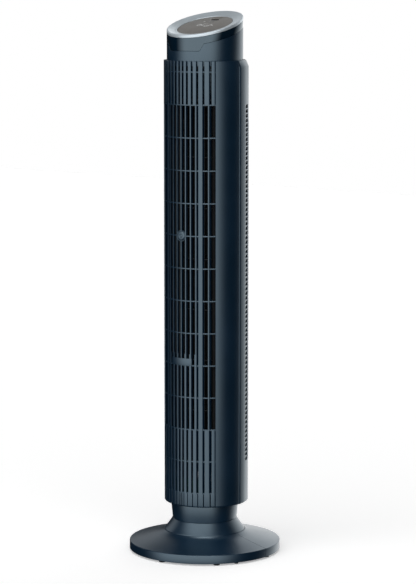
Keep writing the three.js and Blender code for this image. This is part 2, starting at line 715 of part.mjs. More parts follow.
function motorShaft() {
  return drum(SHAFT_RADIUS, MOTOR_LOW + 2, IMPELLER_LOW + 8, TINY, 0, FAN_Y);
}

function upperAxle() {
  return drum(AXLE_RADIUS, IMPELLER_HIGH - 10, DUCT_CEILING_HIGH + 8, TINY, 0, FAN_Y);
}

function upperBearing() {
  const [low, high] = [DUCT_CEILING_LOW - 1, DUCT_CEILING_HIGH + 5];
  return tube(AXLE_RADIUS + GAP, BEARING_RADIUS, low, high, SMALL, 0, FAN_Y);
}

function bearingHolder() {
  const inner = BEARING_RADIUS + GAP;
  const seat = DUCT_CEILING_HIGH + GAP;
  return turn([
    [inner, DUCT_CEILING_LOW - 3],
    [HOLDER_RADIUS, DUCT_CEILING_LOW - 3],
    [HOLDER_RADIUS, seat],
    [HOLDER_RADIUS + 4, seat],
    [HOLDER_RADIUS + 4, seat + 2.7],
    [inner, seat + 2.7],
  ], SMALL, 0, FAN_Y);
}

// The motor's can and stator: open inside for the rotor, with a bore for the shaft at both ends.
function fanMotor() {
  const bore = SHAFT_RADIUS + 0.5;
  return turn([
    [bore, MOTOR_LOW],
    [20, MOTOR_LOW],
    [20, MOTOR_LOW + 5],
    [MOTOR_RADIUS, MOTOR_LOW + 5],
    [MOTOR_RADIUS, MOTOR_HIGH - 4],
    [20, MOTOR_HIGH - 4],
    [20, MOTOR_HIGH],
    [bore, MOTOR_HIGH],
    [bore, ROTOR_HIGH + 1],
    [ROTOR_RADIUS + 0.6, ROTOR_HIGH + 1],
    [ROTOR_RADIUS + 0.6, ROTOR_LOW - 1],
    [bore, ROTOR_LOW - 1],
  ], SMALL * 2, 0, FAN_Y);
}

function motorRotor() {
  return tube(SHAFT_RADIUS + GAP, ROTOR_RADIUS, ROTOR_LOW, ROTOR_HIGH, SMALL, 0, FAN_Y);
}

function motorDamper() {
  return tube(MOTOR_RADIUS + GAP, MOTOR_RADIUS + 3, MOTOR_LOW + 8, MOTOR_HIGH - 6, SMALL * 2, 0, FAN_Y);
}

function motorMount() {
  const inner = MOTOR_RADIUS + 3 + GAP;
  const ring = tube(inner, inner + 3, MOTOR_LOW + 6, MOTOR_HIGH - 4, SMALL * 2, 0, FAN_Y);
  const legs = [];
  for (const angle of [30, 150, 270]) {
    const leg = block(-4, 4, -inner - 7, -inner - 1, MOTOR_LOW + 6, DUCT_FLOOR_LOW - GAP);
    legs.push(leg.rotate([0, 0, angle]).translate([0, FAN_Y, 0]));
  }
  return join([ring, ...legs]);
}

// ---------- electrics ----------

function powerBoard() {
  const board = block(-34, 34, -47, -45.4, SWIVEL_HIGH + GAP, SWIVEL_HIGH + 42);
  const relay = block(-24, -6, -45.5, -34, SWIVEL_HIGH + 18, SWIVEL_HIGH + 34);
  const transformer = block(4, 26, -45.5, -36, SWIVEL_HIGH + 6, SWIVEL_HIGH + 24);
  return join([board, relay, transformer]);
}

function runCapacitor() {
  return drum(9, SWIVEL_HIGH + GAP, SWIVEL_HIGH + 24, SMALL, 40, -24);
}

// The cable from the power board up to the display: straight up beside the duct, then in under the head.
function wiringLoom() {
  const [x, y] = WIRE_PLACE;
  const path = new THREE.CatmullRomCurve3([
    new THREE.Vector3(x, y, SWIVEL_HIGH + 8),
    new THREE.Vector3(x, y, 480),
    new THREE.Vector3(x, y, 850),
    new THREE.Vector3(x + 6, y - 3, 868),
    new THREE.Vector3(x + 26, y - 12, 886),
    new THREE.Vector3(-30, 4, 906),
    new THREE.Vector3(-26, 2, 950),
  ]);
  const section = new THREE.Shape(circle(0, 0, 2.5, 6).map(([a, b]) => new THREE.Vector2(a, b)));
  return toSolid(new THREE.ExtrudeGeometry(section, { steps: 32, extrudePath: path }));
}

// ---------- control head ----------

// Everything between two planes that slope up to the rear, given as depths below the head's top face.
function slopedSlab(deep, shallow) {
  const top = (y) => HEAD_TOP_AT_AXIS + HEAD_SLOPE * y;
  const reach = 100;
  return prismAcross([
    [-reach, top(-reach) - deep],
    [reach, top(reach) - deep],
    [reach, top(reach) - shallow],
    [-reach, top(-reach) - shallow],
  ], reach);
}

function headTube(inner, low) {
  return tube(inner, HEAD_RADIUS, low, BEYOND, FINE, 0, HEAD_OFFSET);
}

// An outline of [radius, height] points turned about the head's axis, with heights from the sloping top.
function slopedTurn(outline, segments) {
  const points = [...outline, outline[0]].map(([r, z]) => new THREE.Vector2(r, z));
  const geometry = new THREE.LatheGeometry(points, segments);
  geometry.rotateX(Math.PI / 2);
  geometry.translate(0, HEAD_OFFSET, HEAD_TOP_AT_AXIS);
  geometry.applyMatrix4(new THREE.Matrix4().set(
    1, 0, 0, 0,
    0, 1, 0, 0,
    0, HEAD_SLOPE, 1, 0,
    0, 0, 0, 1,
  ));
  return toSolid(geometry);
}

// The front tab of the glossy band: its foot is shorter than its shoulders.
function tabPrism(margin) {
  return prismForward([
    [-TAB_HALF_LOW - margin, TAB_LOW - margin],
    [TAB_HALF_LOW + margin, TAB_LOW - margin],
    [TAB_HALF_HIGH + margin, TAB_SHOULDER],
    [TAB_HALF_HIGH + margin, TAB_SHOULDER + 5],
    [-TAB_HALF_HIGH - margin, TAB_SHOULDER + 5],
    [-TAB_HALF_HIGH - margin, TAB_SHOULDER],
  ], -20, 60);
}

function headShell() {
  const wall = headTube(HEAD_RADIUS - WALL, HEAD_LOW);
  const below = slopedSlab(200, BAND_DEPTH + GAP);
  const foot = tube(48, HEAD_RADIUS, HEAD_LOW, HEAD_LOW + WALL, FINE, 0, HEAD_OFFSET);
  return wall.intersect(below).subtract(tabPrism(GAP)).add(foot);
}

function controlBezel() {
  const inner = HEAD_RADIUS - WALL;
  const bandTop = -TRIM_DEPTH - GAP;
  const band = slopedTurn([
    [DECK_BORE, -DECK_DEPTH - DECK_THICKNESS],
    [inner, -DECK_DEPTH - DECK_THICKNESS],
    [inner, -BAND_DEPTH],
    [HEAD_RADIUS, -BAND_DEPTH],
    [HEAD_RADIUS, bandTop],
    [inner, bandTop],
    [inner, -DECK_DEPTH],
    [DECK_BORE, -DECK_DEPTH],
  ], FINE);
  const wall = headTube(inner, HEAD_LOW + 10);
  return band.add(wall.intersect(tabPrism(0)).intersect(slopedSlab(60, TRIM_DEPTH + GAP)));
}

// The silver ring: its face falls from the outer edge to the touch panel.
function ringTrim() {
  const rabbet = HEAD_RADIUS - WALL - GAP;
  return slopedTurn([
    [TRIM_BORE, -DECK_DEPTH + GAP],
    [rabbet, -DECK_DEPTH + GAP],
    [rabbet, -TRIM_DEPTH],
    [HEAD_RADIUS, -TRIM_DEPTH],
    [HEAD_RADIUS, -TRIM_EDGE],
    [HEAD_RADIUS - TRIM_EDGE, 0],
    [HEAD_RADIUS - 3 * TRIM_EDGE, 0],
    [TRIM_BORE, GAP - FACE_DEPTH],
  ], FINE);
}

// A flat-ended oval standing upright, for the window in the touch panel.
function windowOval(margin) {
  const radius = WINDOW_RADIUS + margin;
  const outline = [
    ...arc(WINDOW_HALF, WINDOW_Y, radius, -90, 90, 5),
    ...arc(-WINDOW_HALF, WINDOW_Y, radius, 90, 270, 5),
  ];
  return prism(outline, HEAD_LOW, BEYOND);
}

function touchPanel() {
  const disc = drum(TRIM_BORE - GAP, HEAD_LOW, BEYOND, FINE, 0, HEAD_OFFSET);
  return disc.intersect(slopedSlab(DECK_DEPTH - GAP, FACE_DEPTH)).subtract(windowOval(GAP));
}

function receiverWindow() {
  return windowOval(0).intersect(slopedSlab(DECK_DEPTH - GAP, FACE_DEPTH + 0.2));
}

function displayBoard() {
  const disc = drum(BOARD_RADIUS, HEAD_LOW, BEYOND, MEDIUM, 0, HEAD_OFFSET);
  return disc.intersect(slopedSlab(DECK_DEPTH + 4, DECK_DEPTH + 2.4));
}

function topPlate() {
  const plate = drum(BODY_RADIUS - SLAT_DEPTH - 1, TOP_PLATE_LOW, TOP_PLATE_HIGH, MEDIUM, 0, BODY_OFFSET);
  return plate.subtract(drum(40, TOP_PLATE_LOW - 1, TOP_PLATE_HIGH + 1, SMALL, 0, HEAD_OFFSET));
}

// ---------- assembly ----------

const fan = new THREE.Group();
fan.name = 'tower_fan';

function add(name, shape, material) {
  const geometry = shape instanceof THREE.BufferGeometry ? shape : toGeometry(shape);
  const mesh = new THREE.Mesh(geometry, material);
  mesh.name = name;
  fan.add(mesh);
}

const [baseFront, baseRear] = baseHalves();
add('base_front_half', baseFront, navyPlastic);
add('base_rear_half', baseRear, navyPlastic);
FOOT_ANGLES.forEach((angle, i) => add(`foot_${i + 1}`, foot(FOOT_RADIUS, angle), blackRubber));
SMALL_FOOT_ANGLES.forEach((angle, i) => {
  add(`small_foot_${i + 1}`, foot(SMALL_FOOT_RADIUS, angle), blackRubber);
});
add('cord_gland', cordGland(), blackRubber);
add('neck_mount_plate', mountPlate(), steel);
BASE_SCREW_ANGLES.forEach((angle, i) => add(`base_screw_${i + 1}`, baseScrew(angle), steel));
add('collar', collar(), navyPlastic);
add('neck', neck(), navyPlastic);
add('ring_gear', ringGear(), whitePlastic);
add('bearing_ring', bearingRing(), whitePlastic);

add('oscillation_pinion', pinion(), whitePlastic);

add('swivel_plate', swivelPlate(), darkPlastic);
add('retaining_washer', retainingWasher(), steel);
add('retaining_nut', retainingNut(), steel);
add('oscillation_motor', oscillationMotor(), steel);
add('front_cover', frontCover(), navyPlastic);
add('rear_shell', rearShell(), navyPlastic);
add('badge_plate', badgeBlank(0), navyPlastic);
add('grille_screw', grilleScrew(), navyPlastic);
REAR_SCREWS.forEach((height, i) => add(`rear_screw_${i + 1}`, rearScrew(height), steel));
add('duct_floor', ductFloor(), darkPlastic);
add('duct_ceiling', ductCeiling(), darkPlastic);
add('scroll_wall', scrollWall(), darkPlastic);
add('vortex_tongue', vortexTongue(), darkPlastic);
add('fan_motor', fanMotor(), steel);
add('motor_damper', motorDamper(), blackRubber);
add('motor_mount', motorMount(), steel);
add('upper_bearing', upperBearing(), steel);
add('bearing_holder', bearingHolder(), blackRubber);
add('power_board', powerBoard(), boardGreen);
add('run_capacitor', runCapacitor(), darkPlastic);
add('wiring_loom', wiringLoom(), cableSheath);
add('top_plate', topPlate(), darkPlastic);
add('head_shell', headShell(), navyPlastic);
add('control_bezel', controlBezel(), glossPlastic);
add('ring_trim', ringTrim(), trimSilver);
add('touch_panel', touchPanel(), panelGlass);
add('receiver_window', receiverWindow(), glossPlastic);
add('display_board', displayBoard(), boardGreen);

add('impeller', impeller(), darkPlastic);
add('impeller_hub', impellerHub(), blackRubber);
add('motor_shaft', motorShaft(), steel);
add('motor_rotor', motorRotor(), steel);
add('upper_axle', upperAxle(), steel);

export default fan;
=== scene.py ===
"""A tower fan: round flared base, neck, slatted tower turning on the neck, slanted control head."""
import json
import math

import bmesh
import bpy
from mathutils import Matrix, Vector


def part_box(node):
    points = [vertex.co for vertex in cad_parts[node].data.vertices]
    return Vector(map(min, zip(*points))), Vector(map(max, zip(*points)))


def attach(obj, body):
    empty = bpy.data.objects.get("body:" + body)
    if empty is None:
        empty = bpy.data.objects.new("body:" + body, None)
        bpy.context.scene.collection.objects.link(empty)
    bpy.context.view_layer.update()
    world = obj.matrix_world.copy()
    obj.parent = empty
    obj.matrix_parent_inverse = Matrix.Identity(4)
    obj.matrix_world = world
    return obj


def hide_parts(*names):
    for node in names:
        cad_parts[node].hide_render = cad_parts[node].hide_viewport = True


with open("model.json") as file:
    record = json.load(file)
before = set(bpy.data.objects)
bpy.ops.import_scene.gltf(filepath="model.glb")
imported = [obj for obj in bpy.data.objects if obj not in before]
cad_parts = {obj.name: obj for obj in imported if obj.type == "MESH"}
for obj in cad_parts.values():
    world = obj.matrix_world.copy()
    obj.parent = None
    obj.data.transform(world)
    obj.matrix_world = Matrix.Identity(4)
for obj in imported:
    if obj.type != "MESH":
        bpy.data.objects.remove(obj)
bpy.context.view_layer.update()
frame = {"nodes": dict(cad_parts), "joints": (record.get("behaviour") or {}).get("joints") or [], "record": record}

MM = 0.001  # shapes are written in millimetres and built in metres


# ---------- camera ----------

CAMERA_AZIMUTH = 36.5  # degrees from the front, towards +X
CAMERA_DISTANCE = 4.5578
CAMERA_HEIGHT = 1.1084
CAMERA_PITCH = 7.808
CAMERA_LENS = 153.8
LOOK_ASIDE = 0.0061  # how far the aim passes the turning axis, to the right

AZIMUTH = math.radians(CAMERA_AZIMUTH)
TOWARDS_CAMERA = Vector((math.sin(AZIMUTH), -math.cos(AZIMUTH), 0))
CAMERA_RIGHT = Vector((-TOWARDS_CAMERA.y, TOWARDS_CAMERA.x, 0))


def make_camera():
    data = bpy.data.cameras.new("camera")
    data.lens = CAMERA_LENS
    data.sensor_width = 36
    data.clip_start = 0.1
    data.clip_end = 60
    camera = bpy.data.objects.new("camera", data)
    bpy.context.scene.collection.objects.link(camera)
    place = TOWARDS_CAMERA * CAMERA_DISTANCE
    place.z = CAMERA_HEIGHT
    drop = CAMERA_DISTANCE * math.tan(math.radians(CAMERA_PITCH))
    target = CAMERA_RIGHT * LOOK_ASIDE
    target.z = CAMERA_HEIGHT - drop
    camera.location = place
    camera.rotation_euler = (target - place).to_track_quat("-Z", "Y").to_euler()
    bpy.context.scene.camera = camera


# ---------- sizes, from the frame ----------

def corners(node):
    low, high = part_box(node)
    return low / MM, high / MM


base_low, base_high = corners("base_rear_half")
collar_low, collar_high = corners("collar")
_, neck_high = corners("neck")
tower_low, tower_high = corners("rear_shell")
_, trim_high = corners("ring_trim")
head_low, _ = corners("head_shell")
badge_low, badge_high = corners("badge_plate")
cap_low, cap_high = corners("grille_screw")
_, plate_high = corners("neck_mount_plate")
wheel_low, wheel_high = corners("impeller")
hinge = next(joint for joint in frame["joints"] if joint["name"] == "impeller_spin")

WALL = 2.4
GAP = 0.3
BASE_RADIUS = base_high.x
RIM_LOW = base_low.z - 0.5
RIM_TOP = 19.4
RIM_ROUND = 1.5
SEAM_RADIUS = collar_high.x + GAP
SEAM_HEIGHT = 39.8
BASE_SLOPE = 0.26  # of the base's cone
FLARE_RISE = 3.9  # how far the base's skin rises above that cone at the seam
FLARE_REACH = 5.3  # how fast that rise fades outwards
COLLAR_SAG = 0.2  # how far the collar hangs below a straight cone, as a share of its height
CREASE_RADIUS = 59.6
CREASE_HEIGHT = collar_high.z + GAP
NECK_TOP = neck_high.z
NECK_TOP_RADIUS = 62.4
NECK_TUBE_RADIUS = 57
FLANGE_RADIUS = 70
FLANGE_THICKNESS = 3.5
SHELF_LOW = 84
SHELF_HIGH = 87
SPINDLE_BORE = 17.4

TOWER_RADIUS = tower_high.x
TOWER_AXIS = tower_high.y - TOWER_RADIUS
TOWER_LOW = tower_low.z
TOWER_HIGH = tower_high.z
TOWER_ROUND = 3
TOWER_FOOT_HOLE = 62
SEAM_ANGLE = 87  # where the front cover meets the rear shell, from the front
SEAM_GAP = 0.03  # degrees left open on each side of it
TOP_BEVEL_IN = 5
TOP_BEVEL_DOWN = 12

GRILLE_HALF = 58.7
SLAT_DEPTH = 5
RING_TOP = 891
RING_PITCH = 59.36
RING_COUNT = 14
RING_THICKNESS = 2.2
RING_RECESS = 0.7
OPEN_TOP = RING_TOP - RING_PITCH
OPEN_LOW = RING_TOP - 11 * RING_PITCH
FOOT_BAND = RING_TOP - 13 * RING_PITCH
BROAD_TOP = 378  # below this the thin slats are broader

HEAD_RADIUS = trim_high.x
HEAD_AXIS = trim_high.y - HEAD_RADIUS
HEAD_LOW = head_low.z
HEAD_HOLE = 48
HEAD_SLOPE = math.tan(math.radians(16.4))
TRIM_EDGE = 0.6
# Height of the sloped top on the turning axis.
HEAD_TOP = trim_high.z - HEAD_SLOPE * (trim_high.y - TRIM_EDGE)
TRIM_DEPTH = 5.2
TRIM_BORE = 50.9
PANEL_GAP = 0.8  # between the ring and the touch panel
FACE_DEPTH = 4.2  # the touch panel lies this far below the ring's edge
DECK_DEPTH = 6.5
DECK_THICKNESS = 2
DECK_BORE = 44
BAND_DEPTH = 18.6
TAB_LOW = 928.4
TAB_HALF_LOW = 32.2
TAB_HALF_HIGH = 40
WINDOW_Y = 32.4

CASING_WALL = 1.7
INTAKE_LOW = 171
INTAKE_HIGH = 831
INTAKE_START = 103
INTAKE_END = 172
INTAKE_ROWS = 77
WIDE_COLUMN = 11.5  # degrees across the first column; the others are finer
INTAKE_COLUMNS = 13
SHOULDER_ROWS = 6  # half-rows left closed at the top of all columns but the first


# ---------- materials ----------

def linear(red, green, blue):
    """An sRGB colour of 0 to 255 as the linear RGBA that shaders take."""
    def one(value):
        value /= 255
        return value / 12.92 if value <= 0.04045 else ((value + 0.055) / 1.055) ** 2.4
    return (one(red), one(green), one(blue), 1)


class Finish:
    """A material under construction: object-space noise that drives colour, roughness and bump."""

    def __init__(self, name, metallic=0.0, ior=1.5, tint=(1, 1, 1, 1)):
        self.material = bpy.data.materials.new(name)
        self.material.use_nodes = True
        self.nodes = self.material.node_tree.nodes
        self.links = self.material.node_tree.links
        self.shader = self.nodes["Principled BSDF"]
        self.shader.inputs["Metallic"].default_value = metallic
        self.shader.inputs["IOR"].default_value = ior
        self.shader.inputs["Specular Tint"].default_value = tint
        self.coords = self.nodes.new("ShaderNodeTexCoord")
        self.last_bump = None

    def noise(self, scale, detail=2.0, stretch=(1, 1, 1)):
        mapping = self.nodes.new("ShaderNodeMapping")
        mapping.inputs["Scale"].default_value = stretch
        self.links.new(self.coords.outputs["Object"], mapping.inputs["Vector"])
        noise = self.nodes.new("ShaderNodeTexNoise")
        noise.inputs["Scale"].default_value = scale
        noise.inputs["Detail"].default_value = detail
        self.links.new(mapping.outputs["Vector"], noise.inputs["Vector"])
        return noise.outputs["Fac"]

    def spread(self, source, low, high):
        ramp = self.nodes.new("ShaderNodeMapRange")
        ramp.inputs["From Min"].default_value = 0.3
        ramp.inputs["From Max"].default_value = 0.7
        ramp.inputs["To Min"].default_value = low
        ramp.inputs["To Max"].default_value = high
        self.links.new(source, ramp.inputs["Value"])
        return ramp.outputs["Result"]

    def colour(self, source, first, second):
        ramp = self.nodes.new("ShaderNodeValToRGB")
        ramp.color_ramp.elements[0].position = 0.35
        ramp.color_ramp.elements[0].color = first
        ramp.color_ramp.elements[1].position = 0.65
        ramp.color_ramp.elements[1].color = second
        self.links.new(source, ramp.inputs["Fac"])
        self.links.new(ramp.outputs["Color"], self.shader.inputs["Base Color"])
        return ramp

    def roughness(self, source, low, high):
        self.links.new(self.spread(source, low, high), self.shader.inputs["Roughness"])

    def bump(self, source, strength, depth):
        """Adds a bump of the given depth in millimetres on top of the ones before it."""
        bump = self.nodes.new("ShaderNodeBump")
        bump.inputs["Strength"].default_value = strength
        bump.inputs["Distance"].default_value = depth * MM
        self.links.new(source, bump.inputs["Height"])
        if self.last_bump:
            self.links.new(self.last_bump, bump.inputs["Normal"])
        self.last_bump = bump.outputs["Normal"]
        self.links.new(self.last_bump, self.shader.inputs["Normal"])


NAVY_SHEEN = (0.68, 0.88, 1.0, 1)


def navy_plastic():
    """Satin navy moulding: a fine spark-eroded grain and faint clouding under a cool sheen."""
    finish = Finish("navy_plastic", ior=2.05, tint=NAVY_SHEEN)
    grain = finish.noise(1500, 3)
    cloud = finish.noise(14, 3)
    finish.colour(cloud, linear(0, 26, 45), linear(1, 30, 51))
    finish.roughness(cloud, 0.29, 0.33)
    finish.bump(grain, 0.12, 0.05)
    return finish.material


def gloss_plastic():
    """Polished black-blue plastic with the faint smear of wiping."""
    finish = Finish("gloss_plastic", ior=2.05, tint=NAVY_SHEEN)
    smear = finish.noise(60, 4, (1, 1, 5))
    finish.colour(finish.noise(20), linear(2, 20, 33), linear(4, 24, 39))
    finish.roughness(smear, 0.05, 0.13)
    finish.bump(finish.noise(220), 0.04, 0.02)
    return finish.material


def silver_trim():
    """Satin silver lacquer over plastic, with fine metal flake."""
    finish = Finish("silver_trim", metallic=0.5)
    flake = finish.noise(2600, 2)
    finish.colour(flake, linear(203, 215, 223), linear(211, 222, 229))
    finish.roughness(finish.noise(90, 3), 0.3, 0.36)
    return finish.material


def touch_glass():
    """Dark grey printed glass with finger smudges."""
    finish = Finish("touch_glass", ior=1.3)
    smudge = finish.noise(55, 5)
    finish.colour(finish.noise(700), linear(112, 110, 107), linear(118, 116, 113))
    finish.roughness(smudge, 0.32, 0.4)
    return finish.material


def window_gloss():
    """Smoked infrared window."""
    finish = Finish("window_gloss", ior=1.08)
    finish.colour(finish.noise(300), linear(5, 7, 10), linear(9, 11, 15))
    finish.roughness(finish.noise(80, 3), 0.25, 0.3)
    return finish.material


def dark_plastic():
    """Near-black inner moulding, matt and finely grained."""
    finish = Finish("dark_plastic")
    finish.colour(finish.noise(40, 3), linear(3, 5, 9), linear(6, 9, 14))
    finish.roughness(finish.noise(25), 0.62, 0.74)
    finish.bump(finish.noise(900), 0.2, 0.06)
    return finish.material


def rubber():
    finish = Finish("rubber")
    finish.colour(finish.noise(120, 3), linear(14, 15, 17), linear(23, 24, 26))
    finish.roughness(finish.noise(60), 0.78, 0.92)
    finish.bump(finish.noise(1100, 3), 0.3, 0.08)
    return finish.material


def steel():
    """Zinc-plated steel with rolling marks."""
    finish = Finish("steel", metallic=1.0)
    rolled = finish.noise(260, 4, (1, 1, 0.06))
    finish.colour(finish.noise(70, 4), linear(150, 153, 157), linear(182, 184, 186))
    finish.roughness(rolled, 0.28, 0.46)
    finish.bump(rolled, 0.15, 0.03)
    return finish.material


def white_plastic():
    """Natural acetal, as gears and bearing rings are moulded in."""
    finish = Finish("white_plastic")
    finish.colour(finish.noise(50, 3), linear(214, 213, 205), linear(228, 227, 220))
    finish.roughness(finish.noise(80), 0.38, 0.5)
    finish.bump(finish.noise(600), 0.1, 0.05)
    return finish.material


def circuit_board():
    """Green solder mask over a faint web of tracks."""
    finish = Finish("circuit_board")
    tracks = finish.noise(240, 0, (1, 4, 1))
    finish.colour(tracks, linear(18, 62, 38), linear(30, 88, 54))
    finish.roughness(finish.noise(90), 0.3, 0.42)
    finish.bump(tracks, 0.4, 0.04)
    return finish.material


def printed_mark():
    """Pale screen-print ink, slightly uneven."""
    finish = Finish("printed_mark")
    finish.colour(finish.noise(900, 3), linear(196, 198, 199), linear(212, 214, 215))
    finish.roughness(finish.noise(200), 0.4, 0.55)
    return finish.material


MATERIALS = {
    "navy_plastic": navy_plastic(),
    "gloss_plastic": gloss_plastic(),
    "silver_trim": silver_trim(),
    "touch_glass": touch_glass(),
    "dark_plastic": dark_plastic(),
    "rubber": rubber(),
    "steel": steel(),
    "white_plastic": white_plastic(),
    "circuit_board": circuit_board(),
}
WINDOW_GLOSS = window_gloss()
PRINTED_MARK = printed_mark()


# ---------- mesh building ----------

def soften(outline, steps=3):
    """A closed outline of (x, y, cut) corners, each rounded from `cut` before it to `cut` after it."""
    points = []
    for i, (x, y, cut) in enumerate(outline):
        here = Vector((x, y))
        if not cut:
            points.append((x, y))
            continue
        before = Vector(outline[i - 1][:2])
        after = Vector(outline[(i + 1) % len(outline)][:2])
        start = here + (before - here).normalized() * cut
        end = here + (after - here).normalized() * cut
        for k in range(steps + 1):
            t = k / steps
            point = start * (1 - t) ** 2 + here * 2 * t * (1 - t) + end * t * t
            points.append((point.x, point.y))
    return points


def steps_between(first, last, count):
    return [first + (last - first) * i / count for i in range(count + 1)]


def at(radius, angle, axis_y=0.0):
    """The (x, y) place at a radius and at degrees from the front, round an axis at (0, axis_y)."""
    turn = math.radians(angle)
    return radius * math.sin(turn), axis_y - radius * math.cos(turn)


class Solid:
    """Collects the faces of one piece, in millimetres."""

    def __init__(self):
        self.points = []
        self.faces = []

    def skin(self, rings, closed=False):
        """Joins rings of points, each a closed outline, one to the next; an open row gets flat ends."""
        first = len(self.points)
        size = len(rings[0])
        for ring in rings:
            self.points.extend(ring)
        count = len(rings)
        for i in range(count if closed else count - 1):
            near = first + i * size
            far = first + (i + 1) % count * size
            for k in range(size):
                after = (k + 1) % size
                self.faces.append((near + k, near + after, far + after, far + k))
        if not closed:
            self.faces.append(tuple(range(first + size - 1, first - 1, -1)))
            self.faces.append(tuple(range(first + (count - 1) * size, first + count * size)))
        return self

    def wind(self, profile, angles, axis_y=0.0):
        """Sweeps a closed (radius, height) outline round an axis; a function gives it by angle."""
        closed = abs(angles[-1] - angles[0] - 360) < 1e-6
        rings = []
        for angle in angles[:-1] if closed else angles:
            outline = profile(angle) if callable(profile) else profile
            rings.append([(*at(radius, angle, axis_y), height) for radius, height in outline])
        return self.skin(rings, closed)

    def turn_forward(self, profile, x, z, steps=32):
        """Turns a closed (radius, y) outline about an axis along Y through (x, z)."""
        rings = []
        for i in range(steps):
            angle = math.tau * i / steps
            rings.append([(x + r * math.cos(angle), y, z + r * math.sin(angle)) for r, y in profile])
        return self.skin(rings, True)

    def make(self, name, material, body, replaced=(), slot=None, sharp=32):
        mesh = bpy.data.meshes.new(name)
        mesh.from_pydata([Vector(point) * MM for point in self.points], [], self.faces)
        work = bmesh.new()
        work.from_mesh(mesh)
        bmesh.ops.remove_doubles(work, verts=work.verts, dist=0.001 * MM)
        bmesh.ops.recalc_face_normals(work, faces=work.faces)
        work.to_mesh(mesh)
        work.free()
        mesh.shade_smooth()
        mesh.set_sharp_from_angle(angle=math.radians(sharp))
        piece = bpy.data.objects.new(name, mesh)
        bpy.context.scene.collection.objects.link(piece)
        mesh.materials.append(material)
        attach(piece, body)
        if replaced:
            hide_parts(*replaced)
        return piece


def navy(solid, name, body, *replaced):
    return solid.make(name, MATERIALS["navy_plastic"], body, replaced, "navy_plastic")


FULL = steps_between(0, 360, 192)


# ---------- base ----------

def base_height(radius):
    """A shallow cone that turns up towards the seam."""
    cone = BASE_SLOPE * (BASE_RADIUS - RIM_ROUND - radius)
    return RIM_TOP + cone + FLARE_RISE * math.exp((SEAM_RADIUS - radius) / FLARE_REACH)


def collar_height(radius):
    """Hangs a little below the straight line from the seam up to the crease."""
    share = (SEAM_RADIUS - radius) / (SEAM_RADIUS - CREASE_RADIUS)
    return SEAM_HEIGHT + (CREASE_HEIGHT - SEAM_HEIGHT) * (share - COLLAR_SAG * share * (1 - share))


def underside(height, radius):
    """The inside of a sweep, one wall below its outside."""
    return height(radius) - WALL * math.hypot(1, height(radius + 0.5) - height(radius - 0.5))


def base_profile():
    inner = SEAM_RADIUS + GAP
    top = [(r, base_height(r), 0) for r in steps_between(inner + 1, BASE_RADIUS - 2.6, 30)]
    inside = steps_between(BASE_RADIUS - WALL, inner + WALL, 16)
    under = [(r, underside(base_height, r), 0) for r in inside]
    return soften([
        (inner, plate_high.z + GAP, 0),
        (inner, base_height(inner), 0.5),
        *top,
        (BASE_RADIUS - 0.05, RIM_TOP - 0.1, 1.5),
        (BASE_RADIUS - 0.05, RIM_LOW, 0.3),
        (BASE_RADIUS - WALL, RIM_LOW, 0.3),
        *under,
        (inner + WALL, plate_high.z + GAP, 0),
    ])


def make_base():
    join_line = 0.16  # degrees left open each side between the halves
    front = Solid().wind(base_profile(), steps_between(-90 + join_line, 90 - join_line, 96))
    rear = Solid().wind(base_profile(), steps_between(90 + join_line, 270 - join_line, 96))
    navy(front, "base_front_skin", "base", "base_front_half")
    navy(rear, "base_rear_skin", "base", "base_rear_half")


def make_feet():
    names = [name for name in frame["nodes"] if name.startswith(("foot_", "small_foot_"))]
    for name in names:
        low, high = corners(name)
        radius = (high.x - low.x) / 2
        x, y = (low.x + high.x) / 2, (low.y + high.y) / 2
        pad = Solid()
        outline = soften([
            (0, 0.4, 0),
            (radius - 1.8, 0.4, 0.3),
            (radius - 1.4, 0, 0.3),
            (radius, 0, 0.9),
            (radius, high.z, 0.5),
            (0, high.z, 0),
        ])
        rings = []
        for angle in FULL[:-1:6]:
            rings.append([(x + at(r, angle)[0], y + at(r, angle)[1], z) for r, z in outline])
        pad.skin(rings, True)
        pad.make(name + "_pad", MATERIALS["rubber"], "base", [name], "rubber")


def make_cord_gland():
    low, high = corners("cord_gland")
    middle = (low.z + high.z) / 2
    radius = 4.2
    outline = soften([
        (2.8, low.y, 0),
        (5.4, low.y, 0.3),
        (5.4, low.y + 1.8, 0.3),
        (radius, low.y + 1.8, 0.2),
        (radius, high.y, 0.8),
        (2.8, high.y, 0.5),
    ])
    bush = Solid().turn_forward(outline, 0, middle, 40)
    bush.make("cord_bush", MATERIALS["rubber"], "base", ["cord_gland"], "rubber")


